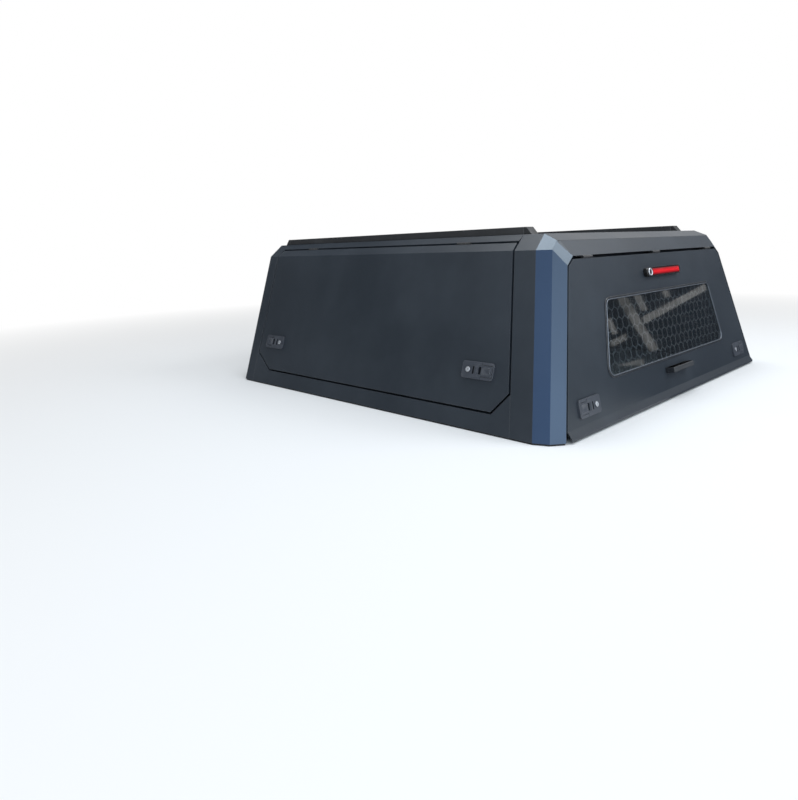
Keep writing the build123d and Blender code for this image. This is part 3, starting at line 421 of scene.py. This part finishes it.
def paint_sky_on_facets():
    # The slanted facets of the rear corners, whose normals lean both sideways and backwards, take the paint
    # with the painted blue sky reflection
    corners = NODES["rear_corners"].data
    corners.materials.append(PAINTED_SKY_FACETS)
    for polygon in corners.polygons:
        if min(abs(polygon.normal.x), abs(polygon.normal.y)) > FACET_SLANT:
            polygon.material_index = 1


def soften(node, width, segments=2):
    # Rounds a CAD node's edges with modifiers, and leaves its own vertices as they are
    part = NODES[node]
    weld = part.modifiers.new("weld", "WELD")
    weld.merge_threshold = WELD_DISTANCE
    flat = part.modifiers.new("flat", "DECIMATE")
    flat.decimate_type = "DISSOLVE"
    flat.angle_limit = FLAT_ANGLE
    bevel = part.modifiers.new("bevel", "BEVEL")
    bevel.width = width
    bevel.segments = segments
    bevel.limit_method = "ANGLE"
    bevel.angle_limit = BEVEL_ANGLE


# Places of the small pieces, read from the CAD nodes

CANOPY_MIDDLE = Vector((0.0, 0.0, 0.25))
UP = Vector((0.0, 0.0, 1.0))


def welded(node):
    # A working copy of a node's mesh, with its faces joined at their shared corners
    work = bmesh.new()
    work.from_mesh(NODES[node].data)
    bmesh.ops.remove_doubles(work, verts=work.verts, dist=WELD_DISTANCE)
    return work


def solids(node):
    # The separate solids of a node, each as a list of (normal, area, corners) for its faces
    work = welded(node)
    left = set(work.faces)
    found = []
    for first in work.faces:
        if first not in left:
            continue
        left.remove(first)
        queue = [first]
        group = []
        while queue:
            face = queue.pop()
            group.append(face)
            for edge in face.edges:
                for other in edge.link_faces:
                    if other in left:
                        left.remove(other)
                        queue.append(other)
        found.append([(f.normal.copy(), f.calc_area(), [v.co.copy() for v in f.verts]) for f in group])
    work.free()
    return sorted(found, key=lambda faces: tuple(round(part, 3) for part in faces_centre(faces)))


def corners_of(faces):
    return [corner for _, _, points in faces for corner in points]


def faces_centre(faces):
    # The middle of the box around a solid
    corners = corners_of(faces)
    low = [min(c[i] for c in corners) for i in range(3)]
    high = [max(c[i] for c in corners) for i in range(3)]
    return Vector([(a + b) / 2 for a, b in zip(low, high)])


def outward(faces):
    # The direction that the largest flat side of a solid faces, away from the canopy's middle
    sides = {}
    away = faces_centre(faces) - CANOPY_MIDDLE
    for normal, area, _ in faces:
        if normal.dot(away) > 0:
            side = sides.setdefault(tuple(round(part, 2) for part in normal), [0.0, Vector()])
            side[0] += area
            side[1] += normal * area
    return max(sides.values(), key=lambda side: side[0])[1].normalized()


def seat(faces):
    # Local frame on the outer side of a solid: X level, Y up the face, Z outward
    normal = outward(faces)
    across = UP.cross(normal).normalized()
    up = normal.cross(across)
    corners = corners_of(faces)
    origin = normal * max(corner.dot(normal) for corner in corners)
    for axis in (across, up):
        spread = [corner.dot(axis) for corner in corners]
        origin += axis * (min(spread) + max(spread)) / 2
    turn = Matrix((across, up, normal)).transposed().to_4x4()
    return Matrix.Translation(origin) @ turn


# Mesh building: profiles are in millimetres, loops and meshes in metres

OVAL_SIDES = 40


def mm(*values):
    return [value / 1000.0 for value in values]


def oval(half_x, half_y, z, power=1.0, at=(0.0, 0.0)):
    # A closed loop that goes from a circle, at power 1, to a slot with square ends
    loop = []
    for i in range(OVAL_SIDES):
        angle = 2 * math.pi * (i + 0.5) / OVAL_SIDES
        c, s = math.cos(angle), math.sin(angle)
        x = math.copysign(abs(c) ** power, c) * half_x
        y = math.copysign(abs(s) ** power, s) * half_y
        loop.append(Vector((x + at[0], y + at[1], z)))
    return loop


def circles(profile):
    # Loops of a turned piece from (radius, height) pairs
    return [oval(*mm(radius, radius, height)) for radius, height in profile]


def loft(work, loops, place, ring=False):
    # A closed skin over loops of equal length: capped at both ends, or joined end to end into a ring
    rings = [[work.verts.new(place @ point) for point in loop] for loop in loops]
    count = len(loops[0])
    for low, high in zip(rings, rings[1:] + rings[:1] if ring else rings[1:]):
        for i in range(count):
            j = (i + 1) % count
            work.faces.new((low[i], low[j], high[j], high[i]))
    if not ring:
        work.faces.new(list(reversed(rings[0])))
        work.faces.new(rings[-1])


def piece(name, work, body, slot, smooth=35.0, replaced=(), material=None):
    # A finished mesh on its body, smooth up to an angle in degrees, in the material of its slot or another
    mesh = bpy.data.meshes.new(name)
    bmesh.ops.recalc_face_normals(work, faces=work.faces)
    work.to_mesh(mesh)
    work.free()
    mesh.shade_smooth()
    mesh.set_sharp_from_angle(angle=math.radians(smooth))
    mesh.materials.append(material or MATERIALS[slot])
    made = bpy.data.objects.new(name, mesh)
    bpy.context.scene.collection.objects.link(made)
    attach(made, body)
    if replaced:
        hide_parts(*replaced)
    return made


# Locks: a turned rosette with a keyway in it, in a collar

DOOR_BODIES = [
    ("left_door", "left_side_door"),
    ("right_door", "right_side_door"),
    ("rear_door", "rear_lift_door"),
]
COLLAR_PROFILE = [
    (8.1, -2.5), (8.1, -0.6), (8.5, -0.2), (9.2, -0.1), (9.8, -0.6), (10.0, -1.2), (10.0, -2.5),
]
ROSETTE_PROFILE = [
    (8.0, -2.5), (8.0, -0.6), (7.7, -0.1), (7.2, 0.1), (6.7, 0.0),
    (6.4, -0.6), (6.1, -0.6), (5.8, 0.0), (5.4, 0.2),
]
KEYWAY = (3.2, 0.9)
KEYWAY_STEPS = [(1.25, 0.2), (1.0, 0.05), (1.0, -1.7)]
KEYWAY_POWER = 0.45
KEYWAY_AREA = 0.00003
QUAD_CORNERS = 4


def add_locks():
    for side, body in DOOR_BODIES:
        work, collars = bmesh.new(), bmesh.new()
        for faces in solids(side + "_locks"):
            loops = circles(ROSETTE_PROFILE)
            for scale, z in KEYWAY_STEPS:
                loops.append(oval(*mm(KEYWAY[0] * scale, KEYWAY[1] * scale, z), KEYWAY_POWER))
            loft(work, loops, seat(faces))
            loft(collars, circles(COLLAR_PROFILE), seat(faces), ring=True)
        replaced = (side + "_locks",)
        made = piece(side + "_locks_turned", work, body, "lock_metal", smooth=25.0, replaced=replaced)
        # The keyway's small flat floor takes the near-black painted shade
        made.data.materials.append(KEYWAY_PAINTED_SHADE)
        for polygon in made.data.polygons:
            if len(polygon.vertices) > QUAD_CORNERS and polygon.area < KEYWAY_AREA:
                polygon.material_index = 1
        piece(side + "_lock_rings", collars, body, "latch_plastic", smooth=40.0)


# Latches: a raised finger rest, a thin near-black patch of painted shade in each groove, a bezel that
# narrows each pocket and a dish on each paddle

REST_X = 5.5
REST_HALF = (4.0, 13.0)
REST_STEPS = [(0.0, -0.3), (0.0, 1.1), (-0.15, 1.5), (-0.5, 1.6)]
REST_POWER = 0.35
# Middle and half size of each slot's thin patch of painted shade, on the latch plate
GROOVES = [((16.0, 0.0), (3.0, 12.5)), ((-15.0, 22.2), (0.7, 3.2)), ((-15.0, -22.2), (0.7, 3.2))]
GROOVE_ENDS = (-0.2, 0.12)
GROOVE_POWER = 0.4
BEZEL_OUTER = (-1.1, 18.9)
BEZEL_INNER = (-2.6, 11.5)
BEZEL_LEFT = -12.0
BEZEL_DEPTH = 4.0
DISH_X = -32.0
DISH_PROFILE = [
    (16.0, 12.5, -0.2), (15.8, 12.3, 0.7), (15.1, 11.6, 1.3), (14.2, 10.7, 1.2), (12.8, 9.3, 0.25),
]
DISH_POWER = 0.4


def latch_frames(side):
    # One frame for each latch plate of a door, with X towards its lock
    middles = [faces_centre(faces) for faces in solids(side + "_locks")]
    frames = []
    for faces in solids(side + "_latch_plates"):
        place = seat(faces)
        nearest = min(middles, key=lambda middle: (middle - place.translation).length)
        if (place.inverted() @ nearest).x < 0:
            place = place @ Matrix.Rotation(math.pi, 4, "Z")
        frames.append(place)
    return frames


def add_finger_rest(work, place):
    loops = []
    for grow, z in REST_STEPS:
        half = mm(REST_HALF[0] + grow, REST_HALF[1] + grow, z)
        loops.append(oval(*half, REST_POWER, at=mm(REST_X, 0.0)))
    loft(work, loops, place)


def add_bezel(work, place):
    # A C-shaped plate around the free end of the paddle
    x0, y0 = BEZEL_OUTER
    x1, y1 = BEZEL_INNER
    outline = [
        (x0, -y0), (x0, y0), (BEZEL_LEFT, y0), (BEZEL_LEFT, y1),
        (x1, y1), (x1, -y1), (BEZEL_LEFT, -y1), (BEZEL_LEFT, -y0),
    ]
    loops = [[Vector(mm(x, y, z)) for x, y in outline] for z in (-BEZEL_DEPTH, 0.0)]
    loft(work, loops, place)


def add_latch_details():
    for side, body in DOOR_BODIES:
        pads, groove_shade = bmesh.new(), bmesh.new()
        for place in latch_frames(side):
            add_finger_rest(pads, place)
            add_bezel(pads, place)
            # Each groove is a thin near-black patch on the plate, painted shade
            for middle, half in GROOVES:
                ends = [oval(*mm(*half, z), GROOVE_POWER, at=mm(*middle)) for z in GROOVE_ENDS]
                loft(groove_shade, ends, place)
        piece(side + "_finger_rests", pads, body, "latch_plastic")
        piece(side + "_latch_groove_shade", groove_shade, body, "latch_plastic", material=GROOVE_PAINTED_SHADE)


def paddles_of(side):
    # The record's names for the paddles of a door
    start = side.replace("_door", "")
    names = [subpart["node"] for subpart in frame["record"]["subparts"]]
    return [name for name in names if name.startswith(start) and name.endswith("paddle")]


def add_paddle_dishes():
    # A rim around a hollow on each paddle, in the frame of the latch plate that it sits in
    for side, _ in DOOR_BODIES:
        places = latch_frames(side)
        for node in paddles_of(side):
            middle = faces_centre(solids(node)[0])
            place = min(places, key=lambda found: (found.translation - middle).length)
            work = bmesh.new()
            loops = [oval(*mm(*profile), DISH_POWER, at=mm(DISH_X, 0.0)) for profile in DISH_PROFILE]
            loft(work, loops, place)
            piece(node + "_dish", work, node + "_body", "latch_plastic")


# Roof rails: button screws that hold each rail, down in its channel

SCREW_PITCH = 0.4
SCREW_PROFILE = [(5.2, 0.0), (5.2, 0.9), (4.9, 1.9), (4.1, 2.7), (3.0, 3.1), (1.9, 3.1), (1.9, 1.4)]
RAIL_FLOOR = 0.008


def add_rail_screws():
    work = bmesh.new()
    for faces in solids("roof_rails"):
        corners = corners_of(faces)
        low_y, high_y = min(c.y for c in corners), max(c.y for c in corners)
        floor_z = min(c.z for c in corners) + RAIL_FLOOR
        count = int((high_y - low_y) / SCREW_PITCH) + 1
        for i in range(count):
            y = (low_y + high_y) / 2 + (i - (count - 1) / 2) * SCREW_PITCH
            loft(work, circles(SCREW_PROFILE), Matrix.Translation((faces_centre(faces).x, y, floor_z)))
    piece("rail_screws", work, "canopy_shell", "lock_metal", smooth=30.0)


# Windows: a bright filler strip along the inner edge of each rubber trim

STRIP_PROFILE = [(-1.3, -0.8), (-1.2, 0.4), (-0.7, 1.2), (0.1, 1.5), (0.9, 1.2), (1.4, 0.4), (1.6, -2.6)]
WINDOW_TRIMS = [("rear_window", "rear_lift_door"), ("front_window", "canopy_shell")]
FACING = 0.99
FACING_DEPTH = 2e-4
SHARPEST_MITRE = 0.3


def loop_length(loop):
    return sum((a - b).length for a, b in zip(loop, loop[1:]))


def front_edges(work, place):
    # The edges around the outward flat side of a mesh, as the neighbours of each vertex
    normal, origin = place.col[2].to_3d(), place.translation
    flat = set()
    for face in work.faces:
        depth = (face.calc_center_median() - origin).dot(normal)
        if face.normal.dot(normal) > FACING and abs(depth) < FACING_DEPTH:
            flat.add(face)
    links = {}
    for edge in work.edges:
        if sum(face in flat for face in edge.link_faces) == 1:
            for vert, other in (edge.verts, reversed(edge.verts)):
                links.setdefault(vert, []).append(other)
    return links


def front_loops(node, place):
    # Closed loops around the outward flat side of a node, the longest first
    work = welded(node)
    links = front_edges(work, place)
    loops = []
    while links:
        vert = next(iter(links))
        loop = []
        while vert in links:
            loop.append(place.inverted() @ vert.co)
            onward = links.pop(vert)
            vert = next((other for other in onward if other in links), None)
        loops.append(loop)
    work.free()
    return sorted(loops, key=loop_length, reverse=True)


def shrunk(loop, distance):
    # The loop moved inward by a distance, corner by corner
    area = sum(a.x * b.y - b.x * a.y for a, b in zip(loop, loop[1:] + loop[:1]))
    moved = []
    for i, point in enumerate(loop):
        before, after = loop[i - 1], loop[(i + 1) % len(loop)]
        normals = []
        for a, b in ((before, point), (point, after)):
            run = (b - a).normalized()
            normals.append(Vector((-run.y, run.x, 0.0)) * math.copysign(1.0, area))
        mean = (normals[0] + normals[1]).normalized()
        moved.append(point + mean * distance / max(SHARPEST_MITRE, mean.dot(normals[0])))
    return moved


def add_filler_strips():
    for window, body in WINDOW_TRIMS:
        place = seat(solids(window + "_trim")[0])
        inner = front_loops(window + "_trim", place)[1]
        rings = []
        for inward, height in STRIP_PROFILE:
            rings.append([Vector((p.x, p.y, height / 1000)) for p in shrunk(inner, inward / 1000)])
        work = bmesh.new()
        loft(work, rings, place, ring=True)
        piece(window + "_filler_strip", work, body, "rail_metal", smooth=40.0, material=STRIP_METAL)


# Lamp: polished ring, domed eye and the ribbed lens

RING_PROFILE = [
    (9.6, -3.0), (9.9, -1.2), (10.5, -0.4), (11.5, 0.0),
    (12.6, -0.2), (13.5, -0.9), (14.0, -2.0), (14.0, -3.0),
]
EYE_PROFILE = [(10.0, -3.2), (9.7, -2.7), (8.6, -2.0), (6.6, -1.4), (4.2, -1.0), (1.8, -0.8)]
RIB_PITCH = 0.0045
RIB_RISE = 0.00035
RIB_STEPS = 6
LENS_CROWN = 0.0030
LENS_ROWS = 16
LENS_FALL = (60, 3)
RIM_FALL = (40, 1.5)
RIM_GAIN = 1.15


def lamp_piece(name, work, slot, smooth, replaced):
    piece(name, work, "rear_lift_door", slot, smooth=smooth, replaced=(replaced,))


def add_lamp_details():
    place = seat(solids("lamp_eye_ring")[0])
    ring, dome = bmesh.new(), bmesh.new()
    loft(ring, circles(RING_PROFILE), place, ring=True)
    lamp_piece("lamp_eye_ring_polished", ring, "lock_metal", 60.0, "lamp_eye_ring")
    loft(dome, circles(EYE_PROFILE), place)
    lamp_piece("lamp_eye_dome", dome, "lamp_black", 60.0, "lamp_eye")
    add_ribbed_lens()


def towards_edge(u, v, powers):
    # 0 in the lens's middle and 1 at its outline
    return max(abs(u) ** powers[0], abs(v) ** powers[1])


def lens_front(work, place, half_x, half_y):
    # Crowned front with upright ribs, as a grid of vertices with their share of the rim's colour
    columns = round(2 * half_x / RIB_PITCH) * RIB_STEPS
    rim = work.verts.layers.float.new("rim")
    grid = []
    for i in range(columns + 1):
        u = 2 * i / columns - 1
        line = []
        for j in range(LENS_ROWS + 1):
            v = math.sin((j / LENS_ROWS - 0.5) * math.pi)
            edge = towards_edge(u, v, LENS_FALL)
            rib = (math.cos(2 * math.pi * i / RIB_STEPS) - 1) / 2 * RIB_RISE
            z = -LENS_CROWN * edge + rib * (1 - edge)
            vert = work.verts.new(place @ Vector((u * half_x, v * half_y, z)))
            vert[rim] = min(1.0, RIM_GAIN * towards_edge(u, v, RIM_FALL))
            line.append(vert)
        grid.append(line)
    for near, far in zip(grid, grid[1:]):
        for j in range(LENS_ROWS):
            work.faces.new((near[j], far[j], far[j + 1], near[j + 1]))
    return grid


def lens_back(work, place, grid, depth):
    # Walls from the outline of the front down to a flat back
    rim = work.verts.layers.float["rim"]
    border = [line[0] for line in grid] + grid[-1][1:]
    border += [line[-1] for line in grid[-2::-1]] + grid[0][-2:0:-1]
    wall = []
    for vert in border:
        foot = place.inverted() @ vert.co
        low = work.verts.new(place @ Vector((foot.x, foot.y, depth)))
        low[rim] = 1.0
        wall.append(low)
    for i in range(len(border)):
        j = (i + 1) % len(border)
        work.faces.new((border[i], wall[i], wall[j], border[j]))
    work.faces.new(wall)


def add_ribbed_lens():
    # Over the whole of the CAD lens
    faces = solids("brake_lamp_lens")[0]
    place = seat(faces)
    local = [place.inverted() @ corner for corner in corners_of(faces)]
    work = bmesh.new()
    grid = lens_front(work, place, max(point.x for point in local), max(point.y for point in local))
    lens_back(work, place, grid, min(point.z for point in local))
    lamp_piece("brake_lamp_lens_ribbed", work, "lamp_red", 40.0, "brake_lamp_lens")


# Studio: floor, surroundings, lamps and dark flags

FLOOR_HALF = 40.0
FLOOR_TONE = 0.8
FLOOR_FADE = (1.2, 4.5)
SKY_COLOUR = rgb(0.95, 0.98, 1.0)
SKY_STRENGTH = 0.42
QUAD = [(0, 1, 2, 3)]
# Name, place, aim, size, watts and colour
LAMPS = [
    ("left_box", (-3.7, -3.1, 1.9), (-0.8, -0.85, 0.3), (2.4, 2.4), 46.0, (0.66, 0.84, 1.0)),
    ("rear_box", (-2.2, -5.4, 1.9), (-0.8, -0.75, 0.3), (2.8, 2.4), 88.0, (0.80, 0.90, 1.0)),
    ("top_box", (-0.1, 0.2, 4.4), (-0.6, -0.6, 0.5), (2.2, 2.2), 110.0, (0.92, 0.96, 1.0)),
    ("crest_box", (1.6, -2.9, 3.3), (-0.6, -0.7, 0.5), (2.0, 2.0), 80.0, (0.92, 0.96, 1.0)),
]
# Name, place, aim and size
FLAGS = [
    ("flag_side", (-3.4, 3.2, 1.6), (-0.7, 0.1, 0.3), (5.0, 3.2)),
    ("flag_front", (0.3, 3.6, 3.4), (-0.6, 0.0, 0.5), (5.0, 3.0)),
]


def rectangle(half_x, half_y):
    return [(-half_x, -half_y, 0), (half_x, -half_y, 0), (half_x, half_y, 0), (-half_x, half_y, 0)]


def studio_sheet(name, points, faces, place):
    # A flat piece of the studio, with the shader of its material
    mesh = bpy.data.meshes.new(name)
    mesh.from_pydata(points, [], faces)
    sheet = bpy.data.objects.new(name, mesh)
    sheet.matrix_world = place
    bpy.context.scene.collection.objects.link(sheet)
    s = Shader(name)
    mesh.materials.append(s.material)
    return sheet, s


def add_floor():
    # Pale floor that turns plain white away from the canopy
    floor, s = studio_sheet("studio_floor", rectangle(FLOOR_HALF, FLOOR_HALF), QUAD, Matrix())
    s.set(Base_Color=shade(FLOOR_TONE), Roughness=0.9, Specular_IOR_Level=0.1)
    far = s.add("ShaderNodeVectorMath", {0: s.place}, operation="LENGTH").outputs["Value"]
    white = s.add("ShaderNodeEmission", {"Color": shade(1.0), "Strength": 1.0})
    s.blend(s.times(seen_directly(s.tree), s.remap(far, *FLOOR_FADE)), white)


def add_world():
    # Soft light from all around, and plain white where it is seen
    world = bpy.data.worlds.new("studio")
    bpy.context.scene.world = world
    world.use_nodes = True
    tree = world.node_tree
    light = tree.nodes["Background"]
    light.inputs["Color"].default_value = SKY_COLOUR
    light.inputs["Strength"].default_value = SKY_STRENGTH
    white = add_node(tree, "ShaderNodeBackground", {"Color": shade(1.0), "Strength": 1.0})
    inputs = {0: seen_directly(tree), 1: light.outputs[0], 2: white.outputs[0]}
    both = add_node(tree, "ShaderNodeMixShader", inputs)
    feed(tree, tree.nodes["World Output"].inputs["Surface"], both.outputs[0])


def add_lamp(name, at, aim, size, power, colour):
    data = bpy.data.lights.new(name, "AREA")
    data.shape = "RECTANGLE"
    data.size, data.size_y = size
    data.energy = power
    data.color = colour
    lamp = bpy.data.objects.new(name, data)
    lamp.location = at
    lamp.rotation_euler = (Vector(aim) - Vector(at)).to_track_quat("-Z", "Y").to_euler()
    lamp.visible_camera = False
    bpy.context.scene.collection.objects.link(lamp)


def add_dark_cloth(name, points, faces=QUAD, place=Matrix()):
    # A dark studio flag that only reflections see
    flag, s = studio_sheet(name, points, faces, place)
    s.set(Base_Color=rgb(0.07, 0.08, 0.1), Roughness=1.0, Specular_IOR_Level=0.0)
    flag.visible_camera = False
    flag.visible_diffuse = False
    flag.visible_shadow = False
    return s


def add_flag(name, at, aim, size):
    turn = (Vector(aim) - Vector(at)).to_track_quat("Z", "Y").to_matrix().to_4x4()
    corners = rectangle(size[0] / 2, size[1] / 2)
    add_dark_cloth(name, corners, place=Matrix.Translation(at) @ turn)


# Streaks of light that the rear window reflects: two ends and half a width, as x and z on the glass

STREAKS = [
    ((-0.315, 0.37), (-0.145, 0.175), (0.034, 0.0)),
    ((-0.19, 0.283), (0.41, 0.357), (0.0, 0.013)),
    ((-0.205, 0.37), (-0.165, 0.315), (0.024, 0.0)),
    ((0.02, 0.37), (0.035, 0.345), (0.024, 0.0)),
    ((-0.43, 0.315), (-0.40, 0.262), (0.018, 0.0)),
    ((-0.44, 0.235), (-0.33, 0.245), (0.0, 0.010)),
    ((-0.43, 0.155), (-0.24, 0.150), (0.0, 0.011)),
]
# Flags on the right: their X, their far Y, and the near Y, lower and upper edge of each
REAR_FLAG_X = 4.0
REAR_FLAG_FAR = -7.0
REAR_FLAG_LOW = (0.6, 0.0, 1.12)
REAR_FLAG_HIGH = (-0.3, 1.42, 2.35)
SCRIM_GAP = 0.1
SCRIM_GLOW = (0.26, 0.92)
FLOOR_FLAG_LEFT = -0.1
FLOOR_FLAG_BACK = -4.4
FLOOR_FLAG_LIFT = 0.003


def mirrored_on_flag(x, z):
    # Where the camera's line of sight goes after it meets the rear glass at x and z
    glass = seat(solids("rear_window_glass")[0])
    normal = glass.col[2].to_3d()
    y = (normal.dot(glass.translation) - normal.x * x - normal.z * z) / normal.y
    point = Vector((x, y, z))
    sight = (point - CAMERA_AT).reflect(normal)
    return point + sight * (REAR_FLAG_X - point.x) / sight.x


def streak_opening(start, end, half):
    start, end, half = Vector(start), Vector(end), Vector(half)
    return [mirrored_on_flag(*corner) for corner in (start + half, start - half, end - half, end + half)]


def upright(x, near, low, high):
    corners = ((REAR_FLAG_FAR, low), (near, low), (near, high), (REAR_FLAG_FAR, high))
    return [Vector((x, y, z)) for y, z in corners]


def add_rear_flags():
    # The low flag has an opening for each streak, with a mottled glowing scrim behind them
    loops = [upright(REAR_FLAG_X, *REAR_FLAG_LOW)] + [streak_opening(*streak) for streak in STREAKS]
    points = [point for loop in loops for point in loop]
    add_dark_cloth("flag_rear_low", points, tessellate_polygon(loops))
    add_dark_cloth("flag_rear_high", upright(REAR_FLAG_X, *REAR_FLAG_HIGH))
    scrim = add_dark_cloth("scrim_rear", upright(REAR_FLAG_X + SCRIM_GAP, *REAR_FLAG_LOW))
    patch = scrim.noise(5.0, detail=5.0, rough=0.62)
    glow = {"Strength": scrim.remap(patch, 0.3, 0.7, *SCRIM_GLOW)}
    scrim.blend(1.0, scrim.add("ShaderNodeEmission", glow))


def add_floor_flag():
    # A dark cloth on the floor behind the rear door, for what the door and its window reflect
    near = CAD_BOX[0][1]
    corners = [
        (FLOOR_FLAG_LEFT, FLOOR_FLAG_BACK), (REAR_FLAG_X, FLOOR_FLAG_BACK),
        (REAR_FLAG_X, near), (FLOOR_FLAG_LEFT, near),
    ]
    add_dark_cloth("flag_floor", [(x, y, FLOOR_FLAG_LIFT) for x, y in corners])


def add_studio():
    add_floor()
    add_world()
    for lamp in LAMPS:
        add_lamp(*lamp)
    for flag in FLAGS:
        add_flag(*flag)
    add_rear_flags()
    add_floor_flag()


# The scene

SOFT_EDGES = {
    "roof_rails": 0.0012,
    "rail_end_caps": 0.0012,
    "rear_pull_handle": 0.0012,
    "brake_lamp_housing": 0.0012,
    "left_door_latch_plates": 0.0010,
    "right_door_latch_plates": 0.0010,
    "rear_door_latch_plates": 0.0010,
}
TRIM_EDGE = 0.0018
TRIM_SEGMENTS = 4

dress_nodes()
paint_sky_on_facets()
for node, width in SOFT_EDGES.items():
    soften(node, width)
for window, _ in WINDOW_TRIMS:
    soften(window + "_trim", TRIM_EDGE, TRIM_SEGMENTS)
add_locks()
add_latch_details()
add_paddle_dishes()
add_filler_strips()
add_rail_screws()
add_lamp_details()
add_studio()
add_camera()
bpy.context.scene.view_settings.view_transform = "Standard"
